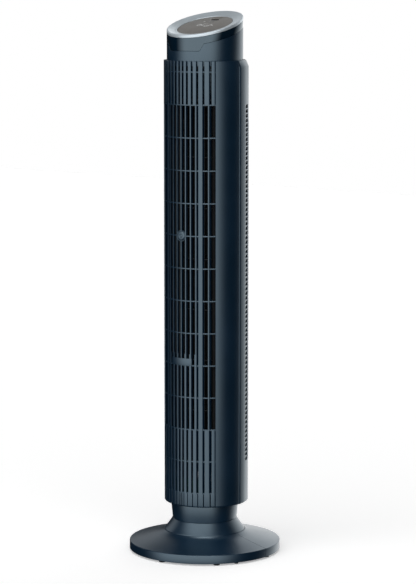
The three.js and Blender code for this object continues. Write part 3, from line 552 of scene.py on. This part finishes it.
def make_neck():
    outer = SEAM_RADIUS - GAP
    inner = NECK_TUBE_RADIUS + GAP
    crease = CREASE_HEIGHT - GAP
    low = plate_high.z + GAP
    collar = soften([
        (outer - WALL, collar_low.z, 0),
        (outer, collar_low.z, 0),
        (outer, collar_height(outer), 0.5),
        *[(r, collar_height(r), 0) for r in steps_between(outer - 1, CREASE_RADIUS + 1.2, 12)],
        (CREASE_RADIUS + 0.2, crease, 0.5),
        (inner, crease, 0),
        (inner, crease - 2.5, 0),
        (outer - WALL, underside(collar_height, outer - WALL), 0),
    ])
    navy(Solid().wind(collar, FULL), "collar_skin", "base", "collar")

    tube = NECK_TUBE_RADIUS - WALL
    neck = soften([
        (tube, low, 0.3),
        (FLANGE_RADIUS, low, 0.3),
        (FLANGE_RADIUS, low + FLANGE_THICKNESS, 0.3),
        (NECK_TUBE_RADIUS, low + FLANGE_THICKNESS, 0),
        (NECK_TUBE_RADIUS, CREASE_HEIGHT, 0),
        (CREASE_RADIUS, CREASE_HEIGHT, 0.4),
        (NECK_TOP_RADIUS, NECK_TOP, 0.5),
        (NECK_TOP_RADIUS - WALL, NECK_TOP, 0.3),
        (NECK_TUBE_RADIUS, SHELF_HIGH, 0),
        (SPINDLE_BORE, SHELF_HIGH, 0.3),
        (SPINDLE_BORE, SHELF_LOW, 0.3),
        (tube, SHELF_LOW, 0),
    ])
    navy(Solid().wind(neck, FULL), "neck_skin", "base", "neck")


# ---------- front cover ----------

def tower_y(radius, x):
    return TOWER_AXIS - math.sqrt(radius * radius - x * x)


def slat_ring(x0, x1, outer, depth, height):
    """A slat's outline in plan, at one height: its front follows the tower's round."""
    cut = min(0.5, (x1 - x0) * 0.2)
    inner = TOWER_RADIUS - depth
    bends = max(1, round((x1 - x0) / 2.5))
    front = [(x, tower_y(outer, x), cut if x in (x0, x1) else 0) for x in steps_between(x0, x1, bends)]
    front[-1] = (x1, tower_y(outer, x1), cut)
    back = [(x1, tower_y(inner, x1), cut * 0.6), (x0, tower_y(inner, x0), cut * 0.6)]
    return [(x, y, height) for x, y in soften(front + back)]


def slat_levels(low, high, recess):
    """(height, outer radius) pairs along a slat, rounded at the tower's foot and its top edge."""
    face = TOWER_RADIUS - recess
    levels = []
    if low <= TOWER_LOW:
        for angle in steps_between(-90, 0, 5):
            turn = math.radians(angle)
            height = TOWER_LOW + TOWER_ROUND * (1 + math.sin(turn))
            levels.append((height, face - TOWER_ROUND * (1 - math.cos(turn))))
    else:
        levels.append((low, face))
    if high >= TOWER_HIGH:
        levels += [(high - 0.7, face), (high - 0.2, face - 0.2), (high, face - 0.7)]
    else:
        levels.append((high, face))
    return levels


def add_slat(solid, x0, x1, low, high, depth=SLAT_DEPTH, recess=0.0):
    levels = slat_levels(low, high, recess)
    solid.skin([slat_ring(x0, x1, outer, depth, height) for height, outer in levels])


def mirrored(spans):
    return spans + [(-far, -near) for near, far in spans]


THIN_SLATS = [(x - 1.1, x + 1.1) for x in (9.75, 19.5, 29.25)]
BROAD_SLATS = [(x - 2.6, x + 1.1) for x in (9.75, 19.5, 29.25)]
WIDE_SLATS = [(5.9, 10.9), (14.9, 20.5), (24.1, 29.8)]
RIB = (33.6, 40.2)
OUTER_SLAT = (48.4, 50.2)
OUTER_WIDE = (43.3, 50)
EDGE_WIDE = (53.4, 57.5)
FOOT_SLATS = [
    (1.9, 4.9), (6.2, 12.6), (13.9, 22.3), (23.7, 31.6), (33.0, 41.0), (42.4, 50.9), (52.3, 57.6),
]


def add_slats(solid):
    add_slat(solid, -1.1, 1.1, OPEN_LOW, OPEN_TOP)
    for near, far in mirrored([RIB, OUTER_SLAT]):
        add_slat(solid, near, far, OPEN_LOW, OPEN_TOP)
    for near, far in mirrored(THIN_SLATS):
        add_slat(solid, near, far, BROAD_TOP, OPEN_TOP)
    for near, far in mirrored(BROAD_SLATS):
        add_slat(solid, near, far, OPEN_LOW, BROAD_TOP)
    head_clear = SLAT_DEPTH - 2  # the head sits just behind the slats' tops
    for near, far in [(-2, 2)] + mirrored(WIDE_SLATS + [RIB, OUTER_WIDE, EDGE_WIDE]):
        add_slat(solid, near, far, OPEN_TOP, TOWER_HIGH, head_clear)
        add_slat(solid, near, far, FOOT_BAND, OPEN_LOW)
    for near, far in [(-0.6, 0.6)] + mirrored(FOOT_SLATS):
        add_slat(solid, near, far, TOWER_LOW, FOOT_BAND)


def add_rings(solid):
    reach = math.degrees(math.asin(GRILLE_HALF / TOWER_RADIUS)) + 0.6
    for place in range(RING_COUNT):
        middle = RING_TOP - place * RING_PITCH
        low, high = middle - RING_THICKNESS / 2, middle + RING_THICKNESS / 2
        face = TOWER_RADIUS - RING_RECESS
        inner = TOWER_RADIUS - SLAT_DEPTH + (1.6 if place == 0 else 0)
        outline = soften([(inner, low, 0.3), (face, low, 0.5), (face, high, 0.5), (inner, high, 0.3)])
        solid.wind(outline, steps_between(-reach, reach, 40), TOWER_AXIS)


def add_foot_band(solid):
    """The wall behind the grooves at the foot of the grille."""
    reach = math.degrees(math.asin(GRILLE_HALF / TOWER_RADIUS)) + 0.6
    face = TOWER_RADIUS - 3
    outline = soften([
        (face - 2, TOWER_LOW + 1, 0.3),
        (face - 1, TOWER_LOW + 1, 0.3),
        (face, TOWER_LOW + 3, 0.5),
        (face, FOOT_BAND, 0.3),
        (face - 2, FOOT_BAND, 0.3),
    ])
    solid.wind(outline, steps_between(-reach, reach, 40), TOWER_AXIS)


def casing_foot():
    """The rounded lower edge of the casing, from the flange out to the wall."""
    points = []
    for angle in steps_between(-90, 0, 6):
        turn = math.radians(angle)
        points.append((TOWER_RADIUS - TOWER_ROUND + TOWER_ROUND * math.cos(turn),
                       TOWER_LOW + TOWER_ROUND * (1 + math.sin(turn)), 0))
    return points


def head_hole_radius(angle):
    """Distance from the tower's axis to the head's hole, in a direction from the front."""
    shift = TOWER_AXIS - HEAD_AXIS
    hole = HEAD_RADIUS + GAP
    turn = math.radians(angle)
    return shift * math.cos(turn) + math.sqrt(hole * hole - (shift * math.sin(turn)) ** 2)


def side_profile(angle):
    inner = TOWER_RADIUS - WALL
    rim = head_hole_radius(angle)
    return soften([
        (TOWER_FOOT_HOLE, TOWER_LOW, 0.3),
        *casing_foot(),
        (TOWER_RADIUS, TOWER_HIGH, 0.8),
        (rim, TOWER_HIGH, 0.4),
        (rim, TOWER_HIGH - WALL, 0.2),
        (inner, TOWER_HIGH - WALL, 0),
        (inner, TOWER_LOW + WALL, 0),
        (TOWER_FOOT_HOLE, TOWER_LOW + WALL, 0.3),
    ])


def add_sides(solid):
    edge = math.degrees(math.asin(GRILLE_HALF / TOWER_RADIUS))
    seam = SEAM_ANGLE - SEAM_GAP
    solid.wind(side_profile, steps_between(edge, seam, 24), TOWER_AXIS)
    solid.wind(side_profile, steps_between(-seam, -edge, 24), TOWER_AXIS)


def add_screw_boss(solid):
    height = (cap_low.z + cap_high.z) / 2
    radius = (cap_high.z - cap_low.z) / 2
    seat = TOWER_AXIS - TOWER_RADIUS + 2
    outline = soften([
        (3.3, seat, 0.2),
        (radius + 0.4, seat, 0),
        (radius + 0.4, seat - 1.6, 0.3),
        (radius + 1.6, seat - 1.6, 0.4),
        (radius + 1.6, seat + 4.6, 0.3),
        (3.3, seat + 4.6, 0.2),
    ])
    solid.turn_forward(outline, 0, height, 48)


def make_front_cover():
    cover = Solid()
    add_sides(cover)
    add_slats(cover)
    add_rings(cover)
    add_foot_band(cover)
    add_screw_boss(cover)
    navy(cover, "front_grille_cover", "tower", "front_cover")


def make_badge():
    """A small plain plate across the middle slats."""
    reach = math.degrees(math.asin(badge_high.x / TOWER_RADIUS))
    face = TOWER_RADIUS + 0.5
    outline = soften([
        (TOWER_RADIUS - 0.9, badge_low.z, 0.2),
        (face, badge_low.z, 0.5),
        (face, badge_high.z, 0.5),
        (TOWER_RADIUS - 0.9, badge_high.z, 0.2),
    ])
    badge = Solid().wind(outline, steps_between(-reach, reach, 24), TOWER_AXIS)
    navy(badge, "badge", "tower", "badge_plate")


def make_screw_cap():
    """A domed cap with a small raised centre, on a shank that runs back into the boss."""
    height = (cap_low.z + cap_high.z) / 2
    radius = (cap_high.z - cap_low.z) / 2
    back = TOWER_AXIS - TOWER_RADIUS + 1.7
    outline = soften([
        (0, back + 7, 0),
        (3, back + 7, 0.4),
        (3, back, 0),
        (radius, back, 0.3),
        (radius, back - 1.5, 0.5),
        (radius - 1.6, back - 2.4, 0.4),
        (3.4, back - 2.7, 0.3),
        (2.9, back - 2.3, 0.2),
        (2.2, back - 2.3, 0.2),
        (1.6, back - 2.9, 0.3),
        (0, back - 2.9, 0),
    ])
    cap = Solid().turn_forward(outline, 0, height, 48)
    navy(cap, "screw_cap", "tower", "grille_screw")


# ---------- rear shell ----------

def intake_rows():
    return steps_between(INTAKE_LOW, INTAKE_HIGH, 2 * INTAKE_ROWS)


def rear_rows():
    """(radius, height) up the outside of the rear shell, from its foot to the head's hole."""
    rows = [(TOWER_FOOT_HOLE, TOWER_LOW)] + [(r, z) for r, z, _ in casing_foot()]
    rows += [(TOWER_RADIUS, z) for z in intake_rows()]
    rows += [
        (TOWER_RADIUS, TOWER_HIGH - TOP_BEVEL_DOWN - 0.6),
        (TOWER_RADIUS - 0.2, TOWER_HIGH - TOP_BEVEL_DOWN + 0.6),
        (TOWER_RADIUS - TOP_BEVEL_IN + 0.3, TOWER_HIGH - 0.7),
        (TOWER_RADIUS - TOP_BEVEL_IN - 0.5, TOWER_HIGH),
    ]
    return rows


# Corners of a slot in its cell, as shares of the cell, beside the six points round the cell's edge.
CELL_EDGE = [(0, 0), (0, 0.5), (0, 1), (1, 1), (1, 0.5), (1, 0)]
WIDE_SLOT = [(0.1, 0.14), (0.1, 0.5), (0.3, 0.88), (0.9, 0.88), (0.9, 0.52), (0.7, 0.14)]
FINE_SLOT = [(0.22, 0.1), (0.22, 0.42), (0.42, 0.88), (0.78, 0.88), (0.78, 0.56), (0.58, 0.1)]


def rear_side(faces, points, side):
    """One side of the rear shell's outer skin, from the seam to the spine, with its lattice of slots."""
    seam = SEAM_ANGLE + SEAM_GAP
    columns = steps_between(seam, INTAKE_START, 4)
    first = len(columns) - 1
    columns += steps_between(INTAKE_START + WIDE_COLUMN, INTAKE_END, INTAKE_COLUMNS)
    last = len(columns) - 1
    columns += steps_between(INTAKE_END, 180, 2)[1:]
    rows = rear_rows()
    low_row = next(i for i, (_, z) in enumerate(rows) if abs(z - INTAKE_LOW) < 1e-6)
    high_row = low_row + 2 * INTAKE_ROWS
    grid = {}
    for c, angle in enumerate(columns):
        for r, (radius, z) in enumerate(rows + [(None, TOWER_HIGH)]):
            if radius is None:
                radius = head_hole_radius(angle)
            grid[c, r] = len(points)
            points.append((*at(radius, side * angle, TOWER_AXIS), z))

    def face(*loop):
        faces.append(loop if side > 0 else loop[::-1])

    def slot(c, r):
        edge = [grid[c + int(u), r + round(v * 2)] for u, v in CELL_EDGE]
        hole = []
        for u, v in WIDE_SLOT if c == first else FINE_SLOT:
            angle = columns[c] + (columns[c + 1] - columns[c]) * u
            z = rows[r][1] + (rows[r + 2][1] - rows[r][1]) * v
            hole.append(len(points))
            points.append((*at(TOWER_RADIUS, side * angle, TOWER_AXIS), z))
        for i in range(len(edge)):
            j = (i + 1) % len(edge)
            face(edge[j], edge[i], hole[i], hole[j])

    for c in range(len(columns) - 1):
        r = 0
        while r < len(rows):
            top_row = high_row if c == first else high_row - SHOULDER_ROWS
            in_lattice = first <= c < last and low_row <= r < top_row
            stagger = (c - first) % 2
            if in_lattice and (r - low_row) % 2 == stagger and r + 2 <= top_row:
                slot(c, r)
                r += 2
            else:
                face(grid[c, r], grid[c + 1, r], grid[c + 1, r + 1], grid[c, r + 1])
                r += 1


def make_rear_shell():
    skin = Solid()
    rear_side(skin.faces, skin.points, 1)
    rear_side(skin.faces, skin.points, -1)
    piece = navy(skin, "rear_casing", "tower", "rear_shell")
    thick = piece.modifiers.new("wall", "SOLIDIFY")
    thick.thickness = CASING_WALL * MM
    thick.offset = -1
    thick.use_even_offset = True
    return piece


# ---------- control head ----------

def head_top(radius, angle):
    """Height of the head's sloped top plane at a place round the head's axis."""
    return HEAD_TOP + HEAD_SLOPE * at(radius, angle, HEAD_AXIS)[1]


def tab_share(angle):
    """0 across the tab's foot, 1 outside the tab, and between along its slanted sides."""
    near = math.degrees(math.asin(TAB_HALF_LOW / HEAD_RADIUS))
    far = math.degrees(math.asin(TAB_HALF_HIGH / HEAD_RADIUS))
    return min(1, max(0, (abs(angle) - near) / (far - near)))


def band_low(angle):
    """Lower edge of the glossy band, which drops to a tab at the front."""
    edge = head_top(HEAD_RADIUS, angle) - BAND_DEPTH
    return TAB_LOW + (edge - TAB_LOW) * tab_share(angle)


def head_angles():
    """Angles round the head, closer together at the tab's slanted sides."""
    near = math.degrees(math.asin(TAB_HALF_LOW / HEAD_RADIUS))
    far = math.degrees(math.asin(TAB_HALF_HIGH / HEAD_RADIUS))
    right = steps_between(0, near, 14)[1:]
    right += steps_between(near, far, 6)[1:]
    right += steps_between(far, 180, 78)[1:]
    return [-angle for angle in reversed(right)] + [0] + right


def head_shell_profile(angle):
    top = band_low(angle) - GAP
    inner = HEAD_RADIUS - WALL
    return soften([
        (HEAD_HOLE, HEAD_LOW, 0.3),
        (HEAD_RADIUS, HEAD_LOW, 0.5),
        (HEAD_RADIUS, top, 0.35),
        (inner, top, 0.2),
        (inner, HEAD_LOW + WALL, 0),
        (HEAD_HOLE, HEAD_LOW + WALL, 0.3),
    ])


def bezel_profile(angle):
    inner = HEAD_RADIUS - WALL
    top = head_top(HEAD_RADIUS, angle) - TRIM_DEPTH - GAP
    return soften([
        (inner, band_low(angle), 0.2),
        (HEAD_RADIUS, band_low(angle), 0.35),
        (HEAD_RADIUS, top, 0.4),
        (inner, head_top(inner, angle) - TRIM_DEPTH - GAP, 0.2),
        (inner, head_top(inner, angle) - DECK_DEPTH, 0),
        (DECK_BORE, head_top(DECK_BORE, angle) - DECK_DEPTH, 0.3),
        (DECK_BORE, head_top(DECK_BORE, angle) - DECK_DEPTH - DECK_THICKNESS, 0.3),
        (inner, head_top(inner, angle) - DECK_DEPTH - DECK_THICKNESS, 0),
    ])


def trim_profile(angle):
    """The silver ring: a rounded outer edge, and a face that falls to the touch panel in a soft dish."""
    def point(radius, depth, cut=0):
        return (radius, head_top(radius, angle) - depth, cut)
    rabbet = HEAD_RADIUS - WALL - GAP
    width = rabbet - TRIM_BORE
    return soften([
        point(TRIM_BORE, DECK_DEPTH - GAP),
        point(rabbet, DECK_DEPTH - GAP),
        point(rabbet, TRIM_DEPTH),
        point(HEAD_RADIUS, TRIM_DEPTH, 0.4),
        point(HEAD_RADIUS, 0.05, 1.2),
        point(HEAD_RADIUS - 2.2, 0.05, 0.9),
        point(TRIM_BORE + width * 0.62, FACE_DEPTH * 0.5, 1.5),
        point(TRIM_BORE + width * 0.25, FACE_DEPTH * 0.84, 1.5),
        point(TRIM_BORE, FACE_DEPTH - 0.25, 0.4),
    ])


def panel_profile(angle):
    radius = TRIM_BORE - PANEL_GAP
    return soften([
        (0, head_top(0, angle) - DECK_DEPTH + GAP, 0),
        (radius, head_top(radius, angle) - DECK_DEPTH + GAP, 0.2),
        (radius, head_top(radius, angle) - FACE_DEPTH - 0.15, 0.4),
        (0, head_top(0, angle) - FACE_DEPTH - 0.15, 0),
    ])


def oval_outline(radius, half, y, steps=12):
    points = []
    for centre, start in ((half, -90), (-half, 90)):
        for angle in steps_between(start, start + 180, steps):
            turn = math.radians(angle)
            points.append((centre + radius * math.cos(turn), y + radius * math.sin(turn)))
    return points


def sloped_prism(outline, deep, shallow):
    """A plan outline drawn between two depths below the head's sloped top."""
    def ring(depth):
        return [(x, y, HEAD_TOP + HEAD_SLOPE * y - depth) for x, y in outline]
    return Solid().skin([ring(deep), ring(shallow)])


def cut_out(piece, cutter):
    """Cuts one piece by another, which is then removed."""
    modifier = piece.modifiers.new("cut", "BOOLEAN")
    modifier.object = cutter
    modifier.operation = "DIFFERENCE"
    modifier.solver = "EXACT"
    bpy.context.view_layer.update()
    graph = bpy.context.evaluated_depsgraph_get()
    mesh = bpy.data.meshes.new_from_object(piece.evaluated_get(graph))
    piece.modifiers.clear()
    piece.data = mesh
    bpy.data.objects.remove(cutter)


def make_head():
    angles = head_angles()
    navy(Solid().wind(head_shell_profile, angles, HEAD_AXIS), "head_casing", "tower", "head_shell")
    bezel = Solid().wind(bezel_profile, angles, HEAD_AXIS)
    bezel.make("control_band", MATERIALS["gloss_plastic"], "tower", ["control_bezel"], "gloss_plastic")
    trim = Solid().wind(trim_profile, FULL, HEAD_AXIS)
    trim.make("silver_ring", MATERIALS["silver_trim"], "tower", ["ring_trim"], "silver_trim")

    panel = Solid().wind(panel_profile, FULL, HEAD_AXIS)
    finish = MATERIALS["touch_glass"]
    glass = panel.make("touch_glass_panel", finish, "tower", ["touch_panel"], "touch_glass")
    cutter = sloped_prism(oval_outline(3.7, 5, WINDOW_Y), DECK_DEPTH + 1, 0)
    cut_out(glass, cutter.make("cutter", finish, "tower"))
    window = sloped_prism(oval_outline(3.4, 5, WINDOW_Y), DECK_DEPTH - GAP, FACE_DEPTH + 0.6)
    window.make("signal_window", WINDOW_GLOSS, "tower", ["receiver_window"], "gloss_plastic")


# ---------- printed marks ----------

def add_bar(solid, start, end, width):
    """A straight stroke of ink on the touch panel."""
    start, end = Vector(start), Vector(end)
    along = (end - start).normalized()
    aside = Vector((-along.y, along.x)) * width / 2
    outline = [start - aside, end - aside, end + aside, start + aside]
    add_ink(solid, [(p.x, p.y) for p in outline])


def add_arc(solid, centre, radius, start, end, width, steps=14):
    for first, second in zip(steps_between(start, end, steps), steps_between(start, end, steps)[1:]):
        outline = []
        for r, angle in ((radius - width / 2, first), (radius + width / 2, first),
                         (radius + width / 2, second), (radius - width / 2, second)):
            turn = math.radians(angle)
            outline.append((centre[0] + r * math.cos(turn), centre[1] + r * math.sin(turn)))
        add_ink(solid, outline)


def add_ink(solid, outline):
    face = FACE_DEPTH + 0.15

    def ring(depth):
        return [(x, y, HEAD_TOP + HEAD_SLOPE * y - depth) for x, y in outline]
    solid.skin([ring(face + 0.1), ring(face - 0.06)])


def make_icons():
    """Plain symbols: a clock and bars in the left group, power and a fan in the right one."""
    ink = Solid()
    stroke = 1.3
    add_arc(ink, (-12.4, 0.8), 4.4, 0, 360, stroke)
    add_bar(ink, (-12.4, 0.8), (-12.4, 3.6), stroke)
    add_bar(ink, (-12.4, 0.8), (-10.4, 0.8), stroke)
    add_bar(ink, (-7.6, 7.6), (-4.4, 9), stroke)
    add_bar(ink, (-6, -2.2), (-6, 1.4), stroke)
    add_bar(ink, (-4, -2.2), (-4, 3.4), stroke)
    add_arc(ink, (5.6, -2.6), 4.2, -235, 55, stroke)
    add_bar(ink, (5.6, -2), (5.6, 3), stroke)
    for angle in (90, 210, 330):
        turn = math.radians(angle)
        tip = (12 + 3.4 * math.cos(turn), 3.4 + 3.4 * math.sin(turn))
        add_bar(ink, (12, 3.4), tip, stroke * 1.6)
    add_bar(ink, (15.6, -1.4), (17.4, 0.4), stroke)
    add_bar(ink, (17.4, 0.4), (19.2, -1.4), stroke)
    add_arc(ink, (-15.5, 20.4), 1.1, 0, 360, stroke)
    ink.make("panel_icons", PRINTED_MARK, "tower", slot="white_plastic")


# ---------- impeller ----------

BLADES = 28
BLADE_THICKNESS = 1.6  # in degrees round the wheel
# Degrees that a blade leans back at each depth in from the wheel's rim.
BLADE_CURVE = [(0.6, 0), (4, -5), (7.5, -8), (11, -9)]


def make_impeller():
    """A cross-flow wheel: many curved blades between discs."""
    wheel = Solid()
    axis_y = hinge["pos_m"][1] / MM
    radius = wheel_high.x
    low, high = wheel_low.z, wheel_high.z
    for i in range(BLADES):
        outline = []
        for depth, lean in BLADE_CURVE:
            outline.append(at(radius - depth, 360 * i / BLADES + lean))
        back = []
        for x, y in reversed(outline):
            back.append(at(math.hypot(x, y), math.degrees(math.atan2(x, -y)) + BLADE_THICKNESS))
        loop = [(x, y + axis_y) for x, y in outline + back]
        wheel.skin([[(x, y, low + 1) for x, y in loop], [(x, y, high - 1) for x, y in loop]])
    levels = steps_between(low + 2, high - 2, 7)
    for k, middle in enumerate(levels):
        ends = k in (0, len(levels) - 1)
        bore = (9.3 if k == 0 else 4.3) if ends else 30
        thick = 2 if ends else 1
        outline = soften([
            (bore, middle - thick, 0.2),
            (radius, middle - thick, 0.4),
            (radius, middle + thick, 0.4),
            (bore, middle + thick, 0.2),
        ])
        wheel.wind(outline, steps_between(0, 360, 96), axis_y)
    wheel.make("impeller_wheel", MATERIALS["dark_plastic"], "impeller", ["impeller"], "dark_plastic")


# ---------- carried-over nodes ----------

SLOTS = {row["node"]: row["material_slot"] for row in frame["record"]["subparts"]}


def finish_frame_nodes():
    for name, node in frame["nodes"].items():
        if node.hide_render:
            continue
        slot = SLOTS[name]
        node.data.materials.clear()
        node.data.materials.append(MATERIALS[slot])
        node.data.shade_smooth()
        node.data.set_sharp_from_angle(angle=math.radians(35))
        soft = node.modifiers.new("soft_edges", "BEVEL")
        soft.width = 0.3 * MM
        soft.segments = 2
        soft.limit_method = "ANGLE"
        soft.angle_limit = math.radians(50)


# ---------- room ----------

class Maths:
    """Small sums in a node tree."""

    def __init__(self, tree):
        self.tree = tree

    def do(self, operation, *values):
        node = self.tree.nodes.new("ShaderNodeMath")
        node.operation = operation
        for i, value in enumerate(values):
            if isinstance(value, (int, float)):
                node.inputs[i].default_value = value
            else:
                self.tree.links.new(value, node.inputs[i])
        return node.outputs[0]

    def rise(self, value, low, high):
        """0 below low, 1 above high, and smooth between."""
        node = self.tree.nodes.new("ShaderNodeMapRange")
        node.interpolation_type = "SMOOTHSTEP"
        node.inputs["From Min"].default_value = low
        node.inputs["From Max"].default_value = high
        self.tree.links.new(value, node.inputs["Value"])
        return node.outputs["Result"]


# The studio's lights, by degrees to the right of the camera's direction and degrees above the horizon.
MAIN_RISE = (-98, -58)
MAIN_FALL = (15, 54)
MAIN_HEIGHTS = (-30, -13, 64, 74)
MAIN_STRENGTH = 1.45
REAR_RISE = (95, 147)
REAR_FADE = (30, 44)
REAR_STRENGTH = 1.5
BACK_WALL_HEIGHTS = (6, 16, 24, 36)
BACK_WALL_STRENGTH = 0.6
CEILING_HEIGHTS = (78, 82)
CEILING_STRENGTH = 7
FILL = 0.01


def make_world():
    world = bpy.data.worlds.new("studio")
    bpy.context.scene.world = world
    world.use_nodes = True
    tree = world.node_tree
    tree.nodes.clear()
    sums = Maths(tree)
    coords = tree.nodes.new("ShaderNodeTexCoord")
    split = tree.nodes.new("ShaderNodeSeparateXYZ")
    turn = tree.nodes.new("ShaderNodeVectorRotate")
    turn.rotation_type = "Z_AXIS"
    turn.inputs["Angle"].default_value = math.radians(90 - CAMERA_AZIMUTH)
    tree.links.new(coords.outputs["Generated"], turn.inputs["Vector"])
    tree.links.new(turn.outputs["Vector"], split.inputs["Vector"])
    x, y, z = split.outputs
    azimuth = sums.do("MULTIPLY", sums.do("ARCTAN2", y, x), 180 / math.pi)
    height = sums.do("MULTIPLY", sums.do("ARCSINE", z), 180 / math.pi)

    main = sums.do("SUBTRACT", sums.rise(azimuth, *MAIN_RISE), sums.rise(azimuth, *MAIN_FALL))
    low, full, fading, high = MAIN_HEIGHTS
    tall = sums.do("SUBTRACT", sums.rise(height, low, full), sums.rise(height, fading, high))
    main = sums.do("MULTIPLY", sums.do("MULTIPLY", main, tall), MAIN_STRENGTH)
    rear = sums.do("SUBTRACT", sums.rise(azimuth, *REAR_RISE), sums.rise(height, *REAR_FADE))
    rear = sums.do("MULTIPLY", rear, REAR_STRENGTH)
    behind = sums.rise(sums.do("ABSOLUTE", azimuth), 100, 125)
    low, full, fading, high = BACK_WALL_HEIGHTS
    strip = sums.do("SUBTRACT", sums.rise(height, low, full), sums.rise(height, fading, high))
    wall = sums.do("MULTIPLY", sums.do("MULTIPLY", behind, strip), BACK_WALL_STRENGTH)
    ceiling = sums.do("MULTIPLY", sums.rise(height, *CEILING_HEIGHTS), CEILING_STRENGTH)
    total = sums.do("MAXIMUM", sums.do("MAXIMUM", main, rear), sums.do("MAXIMUM", wall, ceiling))
    total = sums.do("MAXIMUM", total, FILL)

    lit = tree.nodes.new("ShaderNodeBackground")
    lit.inputs["Color"].default_value = (1, 1, 1, 1)
    tree.links.new(total, lit.inputs["Strength"])
    plain = tree.nodes.new("ShaderNodeBackground")
    plain.inputs["Color"].default_value = (1, 1, 1, 1)
    path = tree.nodes.new("ShaderNodeLightPath")
    mix = tree.nodes.new("ShaderNodeMixShader")
    tree.links.new(path.outputs["Is Camera Ray"], mix.inputs["Fac"])
    tree.links.new(lit.outputs["Background"], mix.inputs[1])
    tree.links.new(plain.outputs["Background"], mix.inputs[2])
    output = tree.nodes.new("ShaderNodeOutputWorld")
    tree.links.new(mix.outputs["Shader"], output.inputs["Surface"])


FLOOR_SIZE = 12
FLOOR_SHADE = 0.92
FLOOR_GLOW = 0.35  # light that a bright studio floor gives back everywhere


def make_floor():
    mesh = bpy.data.meshes.new("floor")
    half = FLOOR_SIZE / 2
    square = [(-half, -half, 0), (half, -half, 0), (half, half, 0), (-half, half, 0)]
    mesh.from_pydata(square, [], [(0, 1, 2, 3)])
    material = bpy.data.materials.new("floor")
    material.use_nodes = True
    shader = material.node_tree.nodes["Principled BSDF"]
    shader.inputs["Base Color"].default_value = (FLOOR_SHADE, FLOOR_SHADE, FLOOR_SHADE, 1)
    shader.inputs["Roughness"].default_value = 0.9
    shader.inputs["Emission Color"].default_value = (1, 1, 1, 1)
    shader.inputs["Emission Strength"].default_value = FLOOR_GLOW
    shader.inputs["Specular IOR Level"].default_value = 0.0
    mesh.materials.append(material)
    floor = bpy.data.objects.new("floor", mesh)
    bpy.context.scene.collection.objects.link(floor)
    floor.visible_glossy = False
    floor.visible_diffuse = False
    floor.visible_shadow = False


# ---------- scene ----------

make_camera()
make_world()
make_floor()
make_base()
make_feet()
make_cord_gland()
make_neck()
make_front_cover()
make_badge()
make_screw_cap()
make_rear_shell()
make_head()
make_icons()
make_impeller()
finish_frame_nodes()
bpy.context.scene.view_settings.view_transform = "Standard"
